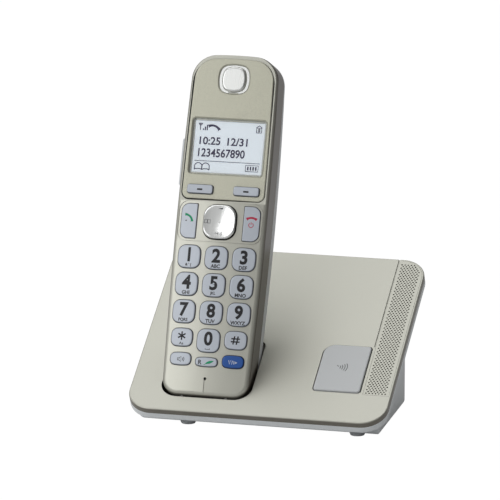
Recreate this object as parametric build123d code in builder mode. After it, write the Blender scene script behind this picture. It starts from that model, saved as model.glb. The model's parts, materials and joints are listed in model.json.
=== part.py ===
from build123d import *

# Cordless landline telephone: a handset standing in its sloping charging base.
# Millimetres, +Z up. The origin is on the floor under the middle of the base.
# X runs to the user's right and Y away from the user. Two tilted frames hold the
# work: plate_frame lies on the base's sloping top, and handset_frame lies on the
# handset's front, with X across, Y up the slope or the handset, and Z outwards.

import os
from collections import namedtuple
from math import cos, radians, sin, tan

# Used everywhere: a gap that only keeps pieces apart, and how far a cut runs past
assembly_gap = 0.1
overshoot = 2.0

# Base: outline and slope
base_width = 131.0
plate_length = 118.0
plate_tilt = 28.5
plate_front_height = 12.0
plate_front_radius = 13.0
plate_rear_radius = 12.5
band_height = 3.0
lip_height = 4.2
lip_edge_radius = 1.5
plate_edge_radius = 0.7
cover_wall = 2.0
cover_rim = 2.4

# Base: the wedge under the plate
wedge_inset = 4.8
wedge_rake = 9.0
wedge_front = 16.5
wedge_rear = 77.0
wedge_rear_radius = 6.0
wedge_lower_radius = 2.5
housing_wall = 2.2
tub_floor = 1.8
floor_gap = 2.0

# Base: locator button, grille and groove
button_width = 23.5
button_height = 32.2
button_x = 37.75
button_d = 36.9
button_gap = 0.55
button_rise = 0.8
button_corner = 1.5
button_big_corner = 6.0
button_skirt = 4.0
button_flange = 1.2
button_travel = 0.8
button_edge = 0.6
button_clearance = 0.3
button_stem_radius = 2.5
grille_left = 51.3
grille_start = 20.0
grille_margin = 1.2
grille_thickness = 1.4
grille_ledge = 1.6
hole_radius = 0.42
hole_pitch_x = 1.6
hole_pitch_d = 1.22
hole_border = 1.2
groove_width = 1.0
groove_depth = 0.7

# Base: what is inside it
post_radius = 2.6
post_foot = 6.4
post_x = 55.2
post_rear_x = 46.5
post_middle_x = 2.9
post_front_y = 24.0
post_rear_y = 69.5
screw_radius = 1.4
screw_clearance = 0.1
screw_head_radius = 2.7
screw_head_height = 1.8
screw_length = 9.0
post_wall = 1.0
foot_radius = 4.4
foot_taper = 0.9
foot_left_x = -38.0
foot_right_x = 48.0
foot_front_y = 21.0
foot_rear_y = 67.0
board_depth = 14.0
board_thickness = 1.6
board_left = 6.5
board_right = 51.0
board_start = 18.5
board_end = 66.0
switch_size = 6.0
switch_height = 4.3
plunger_radius = 1.7
plunger_height = 0.5
sounder_radius = 7.5
sounder_height = 5.0
sounder_x = 50.5
sounder_d = 66.0
line_jack_x = 16.0
line_jack_width = 14.0
line_jack_height = 12.5
line_jack_depth = 16.0
line_socket_width = 10.0
line_socket_height = 7.0
line_socket_depth = 12.0
latch_height = 1.8
dc_jack_x = 38.0
dc_jack_width = 9.6
dc_jack_height = 11.0
dc_jack_depth = 13.5
dc_socket_radius = 3.2
dc_socket_depth = 9.5
dc_pin_radius = 1.0
dc_pin_recess = 1.0
jack_gap = 0.15

# Handset: outline, seen from the front
handset_length = 171.5
handset_foot_half = 21.8
handset_waist_half = 23.1
handset_head_half = 21.9
handset_shoulder = 170.3
handset_top_radius = 12.5
handset_bottom_radius = 8.0

# Handset: section and place
handset_x = -27.2
handset_seat = 10.9
handset_lean = 67.1
handset_depth = 25.2
deepest_at = 68.0
depth_at_foot = 23.2
depth_at_head = 19.4
face_crown = 1.0
crown_radius = 170.0
seam_depth = 15.0
seam_gap = 0.15
handset_wall = 1.8
front_edge_radius = 2.4
boss_sink = 0.4
rear_edge_radius = 4.5
seat_gap = 0.3

# Cradle
opening_gap = 1.0
opening_half = 23.1
opening_start = 9.9
opening_front_radius = 9.0
opening_rear_radius = 4.0
cup_gap = 0.6
cup_wall = 1.4
cup_rib = 1.0
cup_rib_x = 11.2
contact_x = 12.5
contact_depth = 11.0
contact_width = 2.4
contact_gap = 0.3
contact_tail = 1.6
contact_tip_radius = 0.5
contact_clearance = 0.2
contact_plate = 4.6

# Keypad
key_rise = 0.9
key_gap = 0.22
key_edge = 0.7
key_bulge = 0.5
key_flange = 0.6
flange_depth = 2.3
flange_thickness = 0.8
column_pitch = 13.95
row_pitch = 13.75
first_row = 69.1
number_key = 11.75
number_key_radius = 3.6
small_row_y = 28.7
small_key_width = 11.2
small_key_height = 9.2
zero_y = 27.7
bottom_row_y = 18.0
bottom_key_x = 13.3
bottom_key_width = 10.9
bottom_key_height = 6.5
recall_y = 17.1
recall_height = 4.8
call_key_x = 15.95
call_key_width = 8.2
call_key_height = 17.4
call_key_radius = 3.8
call_row_y = 87.0
soft_key_x = 11.8
soft_key_y = 103.1
soft_key_width = 13.2
soft_key_height = 4.6
soft_key_radius = 1.3
soft_key_rise = 1.4
pad_width = 16.4
pad_height = 17.0
pad_radius = 5.6
pad_gap = 0.5
pad_rise = 1.9
pad_dish = 0.8
pad_foot = -2.6
call_key_rise = 0.6
call_key_edge = 0.45
call_key_inner_radius = 0.6
function_key_radius = 2.4
small_key_radius = 3.0
recall_width = 11.3
recall_radius = 1.7
soft_key_edge = 0.6
soft_key_flange = 0.5
soft_key_flange_thickness = 0.6
pad_edge = 0.8
pad_carrier_inset = 3.5
pad_carrier_gap = 0.3
pad_carrier_thickness = 0.5
terminal_room = 1.4
ringer_depth = 18.6
ringer_rows = 4
ringer_pitch = 2.4
ringer_slot_length = 10.0
ringer_slot_width = 1.1
grip_rows = 4
grip_end_gap = 8.0
grip_pitch = 1.8
grip_longest = 14.0
grip_step = 2.2
grip_width = 0.8
field_groove_width = 0.4
field_groove_depth = 0.35
field_half = 21.5
field_height = 20.6
field_radius = 5.0

# Handset: stack behind the face
membrane_depth = 3.95
membrane_thickness = 0.8
handset_board_depth = 4.9
handset_board_thickness = 1.2
handset_board_half = 18.8
handset_board_start = 13.0
handset_board_end = 141.0

# Handset: display and earpiece
fascia_start = 98.3
fascia_inset = 2.0
fascia_thickness = 1.6
fascia_rise = 0.1
fascia_gap = 0.12
fascia_corner = 3.5
head_level = -0.6
shelf_thickness = 1.6
display_y = 125.0
display_width = 37.4
display_height = 27.8
display_corner = 1.4
display_bevel = 0.7
display_ledge = 0.8
window_thickness = 0.9
window_drop = 0.6
earpiece_y = 159.2
earpiece_width = 15.4
earpiece_height = 14.6
dome_width = 12.6
dome_height = 12.9
dome_rise = 1.3
dome_base = 0.7
sound_slot_width = 5.0
sound_slot_height = 0.7
receiver_radius = 6.4
receiver_height = 3.2
mic_y = 8.8
mic_radius = 3.0
mic_height = 2.0
mic_hole_radius = 0.75
mic_groove_width = 0.9
mic_groove_depth = 0.45

# Handset: side rocker and back
rocker_y = 117.2
rocker_length = 23.6
rocker_width = 4.2
rocker_depth = 7.6
rocker_rise = 1.7
rocker_gap = 0.3
rocker_lip = 1.1
rocker_edge = 1.2
volume_switch_width = 3.2
volume_switch_length = 8.0
volume_switch_height = 3.0
volume_switch_overhang = 1.6
door_half = 15.5
door_start = 15.0
door_end = 76.0
door_gap = 0.25
door_thickness = 1.4
door_travel = 3.0
door_grip_rise = 0.4
tray_wall = 1.4
tray_depth = 11.7
tray_floor = 1.2
cell_radius = 5.25
cell_length = 44.5
cell_x = 5.6
cell_depth = 17.2
cell_start = 24.0
ringer_y = 112.0
ringer_radius = 9.0
ringer_height = 3.6
handset_screw_low_x = 7.0
handset_screw_low_y = 7.3
handset_screw_high_x = 14.0
handset_screw_high_y = 147.5
handset_screw_radius = 1.0
handset_screw_head = 2.0
handset_screw_seat = 17.5
boss_radius = 2.3
tube_radius = 3.2

# Frames, worked out from the sizes above
tilt = radians(plate_tilt)
slab_height = band_height + lip_height
base_front = plate_edge_radius * (cos(tilt) + sin(tilt) - 1)
base_rear = (
    (plate_length - lip_edge_radius) * cos(tilt)
    + (slab_height - lip_edge_radius) * sin(tilt)
    + lip_edge_radius
)
plate_front_y = -(base_front + base_rear) / 2
plate_frame = Plane(
    origin=(0, plate_front_y, plate_front_height),
    x_dir=(1, 0, 0),
    z_dir=(0, -sin(tilt), cos(tilt)),
)
plate_out = Axis(plate_frame.origin, plate_frame.z_dir)
lean = radians(handset_lean)
handset_frame = Plane(
    origin=plate_frame.from_local_coords((handset_x, handset_seat, 0)),
    x_dir=(1, 0, 0),
    z_dir=(0, -sin(lean), cos(lean)),
)
handset_out = Axis(handset_frame.origin, handset_frame.z_dir)
handset_up = Axis(handset_frame.origin, handset_frame.y_dir)
handset_side = Plane(
    origin=handset_frame.origin, x_dir=handset_frame.y_dir, z_dir=handset_frame.x_dir
)
handset_end = Plane(
    origin=handset_frame.origin, x_dir=handset_frame.x_dir, z_dir=-handset_frame.y_dir
)

Key = namedtuple("Key", "name x y width height radius")


def keypad_layout():
    """List the keys on the crowned face, row by row."""
    keys = []
    for digit in range(1, 10):
        row, column = divmod(digit - 1, 3)
        x = (column - 1) * column_pitch
        y = first_row - row * row_pitch
        keys.append(Key(f"key_{digit}", x, y, number_key, number_key, number_key_radius))
    for name, side in (("key_star", -1), ("key_hash", 1)):
        x = side * (column_pitch - (number_key - small_key_width) / 2)
        size = (small_key_width, small_key_height)
        keys.append(Key(name, x, small_row_y, *size, small_key_radius))
    keys.append(Key("key_0", 0, zero_y, number_key, number_key, number_key_radius))
    for name, side in (("speaker_key", -1), ("noise_key", 1)):
        x = side * bottom_key_x
        size = (bottom_key_width, bottom_key_height)
        keys.append(Key(name, x, bottom_row_y, *size, function_key_radius))
    keys.append(Key("recall_key", 0, recall_y, recall_width, recall_height, recall_radius))
    return keys


def save(piece, name):
    """Name a finished piece and write it to its own file."""
    piece.part.label = name
    export_step(piece.part, f"parts/{name}.step")


# Profiles


def plate_outline(inset=0.0):
    """Draw the plate's outline, moved in by inset."""
    with Locations((0, plate_length / 2)):
        Rectangle(base_width - 2 * inset, plate_length - 2 * inset)
    fillet(vertices().group_by(Axis.Y)[0], plate_front_radius - inset)
    fillet(vertices().group_by(Axis.Y)[-1], plate_rear_radius - inset)


def wedge_profile(inset, reach):
    """Return the wedge from the side: inset from its faces, and up to reach below the plate."""
    low = floor_gap + inset
    front = plate_front_y + wedge_front + inset
    rear = plate_front_y + wedge_rear - inset

    def ceiling(y):
        rise = (y - plate_front_y) * tan(tilt)
        return plate_front_height + rise - reach / cos(tilt)

    lead = front - wedge_rake
    with BuildSketch() as profile:
        with BuildLine():
            Polyline(
                (front, low), (rear, low), (rear, ceiling(rear)), (lead, ceiling(lead)), close=True
            )
        make_face()
    return profile.sketch


def button_outline(grow):
    """Draw the locator button's outline, grown all round."""
    with Locations((button_x, button_d)):
        Rectangle(button_width + 2 * grow, button_height + 2 * grow)
    fillet(vertices().group_by(Axis.Y)[-1].sort_by(Axis.X)[0], button_big_corner + grow)
    fillet(vertices().group_by(Axis.Y)[0], button_corner + grow)
    fillet(vertices().group_by(Axis.X)[-1].sort_by(Axis.Y)[-1], button_corner + grow)


def grille_outline(grow):
    """Draw the grille strip: the plate's right edge, inside a margin."""
    plate_outline(grille_margin - grow)
    right = base_width / 2
    left = grille_left - grow
    start = grille_start - grow
    with Locations(((left + right) / 2, (start + plate_length) / 2)):
        Rectangle(right - left, plate_length - start, mode=Mode.INTERSECT)


def bulged_rectangle(width, height, bulge, radius):
    """Return a rectangle whose sides swell a little, with round corners."""
    x = width / 2 - bulge
    y = height / 2 - bulge
    with BuildSketch() as outline:
        with BuildLine():
            ThreePointArc((-x, -y), (0, -height / 2), (x, -y))
            ThreePointArc((x, -y), (width / 2, 0), (x, y))
            ThreePointArc((x, y), (0, height / 2), (-x, y))
            ThreePointArc((-x, y), (-width / 2, 0), (-x, -y))
        make_face()
        fillet(vertices(), radius)
    return outline.sketch


def handset_outline(inset):
    """Return the handset's outline seen from the front, moved in by inset."""
    foot = handset_foot_half - inset
    waist = handset_waist_half - inset
    head = handset_head_half - inset
    middle = handset_length / 2
    shoulder = handset_shoulder - inset
    with BuildSketch() as outline:
        with BuildLine():
            Line((-foot, inset), (foot, inset))
            ThreePointArc((foot, inset), (waist, middle), (head, shoulder))
            ThreePointArc((head, shoulder), (0, handset_length - inset), (-head, shoulder))
            ThreePointArc((-head, shoulder), (-waist, middle), (-foot, inset))
        make_face()
        fillet(vertices().group_by(Axis.Y)[0], handset_bottom_radius - inset)
        fillet(vertices().group_by(Axis.Y)[-1], handset_top_radius - inset)
    return outline.sketch


def under_crown(lift):
    """Return the bar whose front is the crowned face, raised by lift."""
    side = 2 * handset_waist_half
    radius = crown_radius + lift
    edge = face_crown - crown_radius + (radius**2 - side**2) ** 0.5
    with BuildPart() as bar:
        with BuildSketch(handset_end):
            with BuildLine():
                top = ThreePointArc((-side, edge), (0, face_crown + lift), (side, edge))
                Polyline(top @ 1, (side, -2 * handset_depth), (-side, -2 * handset_depth), top @ 0)
            make_face()
        extrude(amount=handset_length + overshoot, both=True)
    return bar.part


def handset_shape(inset):
    """Return the handset's outside shape, moved in by inset on every side."""
    with BuildPart() as shape:
        with BuildSketch(handset_frame.offset(-handset_depth)):
            add(handset_outline(inset))
        extrude(amount=handset_depth + face_crown)
        with BuildSketch(handset_side):
            with BuildLine():
                back = ThreePointArc(
                    (0, inset - depth_at_foot),
                    (deepest_at, inset - handset_depth),
                    (handset_length, inset - depth_at_head),
                )
                front = face_crown + 1
                Polyline(back @ 1, (handset_length, front), (0, front), back @ 0)
            make_face()
        extrude(amount=handset_waist_half + 1, both=True, mode=Mode.INTERSECT)
        add(under_crown(-inset), mode=Mode.INTERSECT)
    return shape.part


def block(plane, x, y, width, height, thickness):
    """Return a plain block that stands on a plane, centred at x, y."""
    with BuildPart() as solid:
        with BuildSketch(plane):
            with Locations((x, y)):
                Rectangle(width, height)
        extrude(amount=thickness)
    return solid.part


def pins(plane, places, radius, length):
    """Return round pins that stand on a plane."""
    with BuildPart() as solid:
        with BuildSketch(plane):
            with Locations(*places):
                Circle(radius)
        extrude(amount=length)
    return solid.part


def crown_over_key(x, y, width, height, lift):
    """Return a bar round one key, whose front is the crowned face, raised by lift."""

    def crown_at(place):
        return face_crown - crown_radius + ((crown_radius + lift) ** 2 - place**2) ** 0.5

    left = x - width
    right = x + width
    inner = x + width / 8
    with BuildPart() as bar:
        with BuildSketch(handset_end.offset(height - y)):
            with BuildLine():
                top = ThreePointArc(
                    (left, crown_at(left)), (inner, crown_at(inner)), (right, crown_at(right))
                )
                Polyline(top @ 1, (right, -seam_depth), (left, -seam_depth), top @ 0)
            make_face()
        extrude(amount=-2 * height)
    return bar.part


def above_head(level, start):
    """Return all the space in front of a level, over the handset's display half."""
    middle = (start + handset_length + 5) / 2
    span = handset_length + 5 - start
    return block(handset_frame.offset(level), 0, middle, 3 * handset_waist_half, span, 9)


post_places = [
    (-post_x, plate_front_y + post_front_y),
    (post_middle_x, plate_front_y + post_front_y),
    (-post_x, plate_front_y + post_rear_y),
    (post_rear_x, plate_front_y + post_rear_y),
]
handset_screw_places = [
    (-handset_screw_low_x, handset_screw_low_y),
    (handset_screw_low_x, handset_screw_low_y),
    (-handset_screw_high_x, handset_screw_high_y),
    (handset_screw_high_x, handset_screw_high_y),
]
foot_places = [
    (foot_left_x, plate_front_y + foot_front_y),
    (foot_right_x, plate_front_y + foot_front_y),
    (foot_left_x, plate_front_y + foot_rear_y),
    (foot_right_x, plate_front_y + foot_rear_y),
]
keypad = keypad_layout()
call_keys = [("talk_key", -1), ("off_key", 1)]
soft_keys = [("soft_key_left", -1), ("soft_key_right", 1)]
cup_back = handset_depth + cup_gap
cup_half = handset_waist_half + cup_gap
shelf_level = fascia_rise - fascia_thickness - fascia_gap
opening_end = handset_seat + (handset_depth + opening_gap) / sin(lean - tilt)
opening_middle = (opening_start + opening_end) / 2
pad_hole = (pad_width + 2 * pad_gap, pad_height + 2 * pad_gap)
mic_groove_y = (mic_y - 1 + 2.4) / 2
mic_groove_level = face_crown - mic_groove_depth


def cradle_opening():
    """Draw the handset's opening in the plate."""
    with Locations((handset_x, opening_middle)):
        Rectangle(2 * opening_half, opening_end - opening_start)
    fillet(vertices().group_by(Axis.Y)[0], opening_front_radius)
    fillet(vertices().group_by(Axis.Y)[-1], opening_rear_radius)


def call_key_outline(side, grow):
    """Return a talk or off key: round outer corners and nearly square inner ones."""
    with BuildSketch() as outline:
        with Locations((side * call_key_x, call_row_y)):
            Rectangle(call_key_width + 2 * grow, call_key_height + 2 * grow)
        fillet(vertices().group_by(Axis.X)[-1 if side > 0 else 0], call_key_radius + grow)
        inner = vertices().group_by(Axis.X)[0 if side > 0 else -1]
        fillet(inner, call_key_inner_radius)
    return outline.sketch


def fascia_outline(grow):
    """Return the display panel's outline, grown all round."""
    start = fascia_start - grow
    with BuildSketch() as outline:
        add(handset_outline(fascia_inset - grow))
        with Locations((0, (start + handset_length) / 2)):
            Rectangle(2 * handset_waist_half, handset_length - start, mode=Mode.INTERSECT)
        fillet(vertices().group_by(Axis.Y)[0], fascia_corner + grow)
    return outline.sketch


def key_outline(key, grow):
    """Return one keypad key's outline in its place, grown all round."""
    with BuildSketch() as outline:
        with Locations((key.x, key.y)):
            add(
                bulged_rectangle(
                    key.width + 2 * grow, key.height + 2 * grow, key_bulge, key.radius + grow
                )
            )
    return outline.sketch


os.makedirs("parts", exist_ok=True)

# Base casings

with BuildPart() as cover_posts:
    post_plane = Plane.XY.offset(post_foot)
    add(pins(post_plane, post_places, post_radius, plate_length))
    post_top = plate_frame.offset(-cover_wall / 2)
    span = 2 * plate_length
    add(block(post_top, 0, 0, span, 2 * span, span), mode=Mode.SUBTRACT)
    screw_hole = screw_radius + screw_clearance
    add(pins(post_plane, post_places, screw_hole, screw_length - 1), mode=Mode.SUBTRACT)

with BuildPart() as base_top_cover:
    with BuildSketch(plate_frame.offset(-band_height)):
        plate_outline()
    extrude(amount=band_height)
    fillet(edges().group_by(plate_out)[-1], plate_edge_radius)
    with BuildSketch(plate_frame.offset(-band_height)):
        plate_outline(cover_rim)
    extrude(amount=band_height - cover_wall, mode=Mode.SUBTRACT)
    add(cover_posts.part)
    with BuildSketch(plate_frame):
        cradle_opening()
    extrude(amount=-band_height, mode=Mode.SUBTRACT)
    with BuildSketch(plate_frame):
        button_outline(button_gap)
    extrude(amount=-band_height, mode=Mode.SUBTRACT)
    with BuildSketch(plate_frame):
        grille_outline(fascia_gap)
    extrude(amount=-grille_thickness, mode=Mode.SUBTRACT)
    with BuildSketch(plate_frame):
        grille_outline(-grille_ledge)
    extrude(amount=-band_height, mode=Mode.SUBTRACT)
    groove_start = button_d + button_height / 2 + button_gap
    groove_middle = (groove_start + plate_length) / 2
    groove_length = plate_length - groove_start
    groove_x = grille_left - groove_width / 2
    add(
        block(plate_frame, groove_x, groove_middle, groove_width, groove_length, -groove_depth),
        mode=Mode.SUBTRACT,
    )
save(base_top_cover, "base_top_cover")

with BuildPart() as speaker_grille:
    with BuildSketch(plate_frame.offset(-grille_thickness)):
        grille_outline(0)
        columns = int((base_width / 2 - grille_margin - grille_left) / hole_pitch_x)
        rows = int((plate_length - grille_margin - grille_start - 2) / hole_pitch_d)
        first_hole = grille_left + hole_border + hole_radius / 2
        hole_places = []
        for row in range(rows):
            d = grille_start + hole_border + row * hole_pitch_d
            shift = (row % 2) * hole_pitch_x / 2
            reach = base_width / 2 - grille_margin - hole_border
            into_corner = d - (plate_length - plate_rear_radius)
            if into_corner > 0:
                reach -= plate_rear_radius - (plate_rear_radius**2 - into_corner**2) ** 0.5
            for column in range(columns):
                x = first_hole + column * hole_pitch_x + shift
                if x < reach:
                    hole_places.append((x, d))
        with Locations(*hole_places):
            Circle(hole_radius, mode=Mode.SUBTRACT)
    extrude(amount=grille_thickness)
save(speaker_grille, "speaker_grille")

with BuildPart() as base_housing:
    with BuildSketch(plate_frame.offset(-slab_height)):
        plate_outline()
    extrude(amount=lip_height)
    fillet(edges().group_by(plate_out)[0], lip_edge_radius)
    wedge_half = base_width / 2 - wedge_inset
    with BuildSketch(Plane.YZ):
        add(wedge_profile(0, slab_height - 1))
    extrude(amount=wedge_half, both=True)
    rear_corners = edges().filter_by(Axis.Z).group_by(Axis.Y)[-1]
    fillet(rear_corners, wedge_rear_radius)
    fillet(faces().filter_by(Axis.Z).sort_by(Axis.Z)[0].edges(), wedge_lower_radius)
    with BuildSketch(plate_frame.offset(-band_height)):
        plate_outline(housing_wall)
    extrude(amount=-(lip_height - tub_floor), mode=Mode.SUBTRACT)
    with BuildSketch(Plane.YZ):
        add(wedge_profile(housing_wall, band_height))
    extrude(amount=wedge_half - housing_wall, both=True, mode=Mode.SUBTRACT)
    for x, y in post_places:
        with BuildSketch(Plane.XY.offset(floor_gap)):
            with Locations((x, y)):
                Circle(post_radius + post_wall)
        extrude(amount=post_foot - floor_gap - assembly_gap)
        with BuildSketch(Plane.XY.offset(floor_gap)):
            with Locations((x, y)):
                Circle(screw_head_radius + screw_clearance)
        extrude(amount=screw_head_height + assembly_gap, mode=Mode.SUBTRACT)
        with BuildSketch(Plane.XY.offset(floor_gap)):
            with Locations((x, y)):
                Circle(screw_radius + screw_clearance)
        extrude(amount=post_foot - floor_gap, mode=Mode.SUBTRACT)
    with BuildSketch(plate_frame):
        cradle_opening()
    extrude(amount=-slab_height - 1, mode=Mode.SUBTRACT)
    rear_wall = Plane(
        origin=(0, plate_front_y + wedge_rear, 0), x_dir=(1, 0, 0), z_dir=(0, -1, 0)
    )
    jack_floor = floor_gap + housing_wall
    for x, width, height in (
        (line_jack_x, line_jack_width, line_jack_height),
        (dc_jack_x, dc_jack_width, dc_jack_height),
    ):
        middle = jack_floor + height / 2
        opening = block(rear_wall, x, middle, width + 2 * jack_gap, height, housing_wall)
        add(opening, mode=Mode.SUBTRACT)
save(base_housing, "base_housing")

# Cradle cup: floor, two side walls and a back wall that follow the handset

with BuildPart() as cradle_cup:
    with BuildSketch(handset_end.offset(seat_gap)):
        with Locations((0, -cup_back / 2)):
            Rectangle(2 * (cup_half + cup_wall), cup_back + 2 * cup_wall)
    extrude(amount=cup_wall)
    with BuildSketch(handset_end.offset(seat_gap)):
        with Locations((0, -cup_back / 2)):
            Rectangle(2 * (cup_half + cup_wall), cup_back + 2 * cup_wall)
            Rectangle(2 * cup_half, cup_back, mode=Mode.SUBTRACT)
    extrude(amount=-handset_length / 3)
    room = plate_length / 2
    under_plate = block(
        plate_frame.offset(-cover_wall), 0, room, base_width, 2 * plate_length, -room
    )
    add(under_plate, mode=Mode.INTERSECT)
    for side in (-1, 1):
        rib_depth = contact_depth - contact_width
        rib_top = handset_end.offset(assembly_gap)
        add(block(rib_top, side * cup_rib_x, -rib_depth / 2, cup_rib, rib_depth, cup_wall))
    with BuildSketch(handset_end):
        with Locations((-contact_x, -contact_depth), (contact_x, -contact_depth)):
            Rectangle(contact_width + 2 * contact_gap, contact_width + 2 * contact_gap)
    extrude(amount=seat_gap + cup_wall + overshoot, mode=Mode.SUBTRACT)
save(cradle_cup, "cradle_cup")

# What the base holds

with BuildPart() as rubber_feet:
    for x, y in foot_places:
        with BuildSketch(Plane.XY):
            with Locations((x, y)):
                Circle(foot_radius - foot_taper)
        with BuildSketch(Plane.XY.offset(floor_gap)):
            with Locations((x, y)):
                Circle(foot_radius)
        loft()
save(rubber_feet, "rubber_feet")

with BuildPart() as base_screws:
    head_height = screw_head_height - 2 * assembly_gap
    head_foot = Plane.XY.offset(floor_gap + assembly_gap)
    add(pins(head_foot, post_places, screw_head_radius, head_height))
    add(pins(Plane.XY.offset(floor_gap + head_height), post_places, screw_radius, screw_length))
save(base_screws, "base_screws")

with BuildPart() as base_circuit_board:
    board_middle = ((board_left + board_right) / 2, (board_start + board_end) / 2)
    board_plane = plate_frame.offset(-board_depth - board_thickness)
    add(
        block(
            board_plane,
            *board_middle,
            board_right - board_left,
            board_end - board_start,
            board_thickness,
        )
    )
save(base_circuit_board, "base_circuit_board")

with BuildPart() as locator_switch:
    switch_plane = plate_frame.offset(-board_depth)
    add(block(switch_plane, button_x, button_d, switch_size, switch_size, switch_height))
    switch_top = switch_plane.offset(switch_height)
    add(pins(switch_top, [(button_x, button_d)], plunger_radius, plunger_height))
save(locator_switch, "locator_switch")

with BuildPart() as locator_button:
    with BuildSketch(plate_frame.offset(button_rise)):
        button_outline(0)
    extrude(amount=-(button_rise + cover_wall + button_clearance + button_travel / 4))
    fillet(faces().sort_by(plate_out)[-1].edges(), button_edge)
    skirt_top = -(cover_wall + button_clearance)
    with BuildSketch(plate_frame.offset(skirt_top)):
        button_outline(button_flange)
    extrude(amount=-(button_skirt - cover_wall))
    stem_bottom = -board_depth + switch_height + plunger_height + button_travel + 2 * assembly_gap
    stem_length = skirt_top - stem_bottom
    stem_top = plate_frame.offset(skirt_top)
    add(pins(stem_top, [(button_x, button_d)], button_stem_radius, -stem_length))
save(locator_button, "locator_button")

with BuildPart() as base_sounder:
    sounder_place = [(sounder_x, sounder_d)]
    sounder_top = plate_frame.offset(-band_height - assembly_gap)
    add(pins(sounder_top, sounder_place, sounder_radius, -sounder_height * 0.4))
    add(pins(sounder_top, sounder_place, sounder_radius * 0.6, -sounder_height))
save(base_sounder, "base_sounder")

with BuildPart() as line_jack:
    jack_middle = jack_floor + line_jack_height / 2
    add(
        block(
            rear_wall, line_jack_x, jack_middle, line_jack_width, line_jack_height, line_jack_depth
        )
    )
    socket = block(
        rear_wall,
        line_jack_x,
        jack_middle,
        line_socket_width,
        line_socket_height,
        line_socket_depth,
    )
    add(socket, mode=Mode.SUBTRACT)
    latch = block(
        rear_wall,
        line_jack_x,
        jack_middle - (line_socket_height + latch_height) / 2,
        line_socket_width / 3,
        latch_height,
        line_socket_depth,
    )
    add(latch, mode=Mode.SUBTRACT)
save(line_jack, "line_jack")

with BuildPart() as dc_inlet_jack:
    jack_middle = jack_floor + dc_jack_height / 2
    jack_place = [(dc_jack_x, jack_middle)]
    add(block(rear_wall, dc_jack_x, jack_middle, dc_jack_width, dc_jack_height, dc_jack_depth))
    add(pins(rear_wall, jack_place, dc_socket_radius, dc_socket_depth), mode=Mode.SUBTRACT)
    pin_start = rear_wall.offset(dc_pin_recess)
    add(pins(pin_start, jack_place, dc_pin_radius, dc_socket_depth))
save(dc_inlet_jack, "dc_inlet_jack")

for name, side in (("charge_contact_left", -1), ("charge_contact_right", 1)):
    with BuildPart() as contact:
        contact_top = handset_end.offset(seat_gap - contact_clearance)
        x = side * contact_x
        tip_length = cup_wall + contact_tail
        add(block(contact_top, x, -contact_depth, contact_width, contact_width, tip_length))
        fillet(faces().sort_by(handset_up)[-1].edges(), contact_tip_radius)
    save(contact, name)

# Handset casings

with BuildPart() as field_groove:
    with BuildSketch(handset_frame.offset(-2)):
        with Locations((0, call_row_y)):
            RectangleRounded(2 * field_half, field_height, field_radius)
            RectangleRounded(
                2 * (field_half - field_groove_width),
                field_height - 2 * field_groove_width,
                field_radius - field_groove_width,
                mode=Mode.SUBTRACT,
            )
    extrude(amount=5)
    add(under_crown(-field_groove_depth), mode=Mode.SUBTRACT)

with BuildPart() as handset_outside:
    add(handset_shape(0))
    front = faces().filter_by(lambda face: face.normal_at().dot(handset_frame.z_dir) > 0.9)
    fillet(front.edges(), front_edge_radius)
    back = faces().filter_by(lambda face: face.normal_at().dot(handset_frame.z_dir) < -0.9)
    fillet(back.edges(), rear_edge_radius)
    add(above_head(head_level, fascia_start - 1), mode=Mode.SUBTRACT)

with BuildPart() as handset_cavity:
    add(handset_shape(handset_wall))
    add(above_head(shelf_level - shelf_thickness, fascia_start - 1.6), mode=Mode.SUBTRACT)

with BuildPart() as fascia_shape:
    with BuildSketch(handset_frame.offset(fascia_rise - fascia_thickness)):
        add(fascia_outline(0))
    extrude(amount=fascia_thickness)

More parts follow.
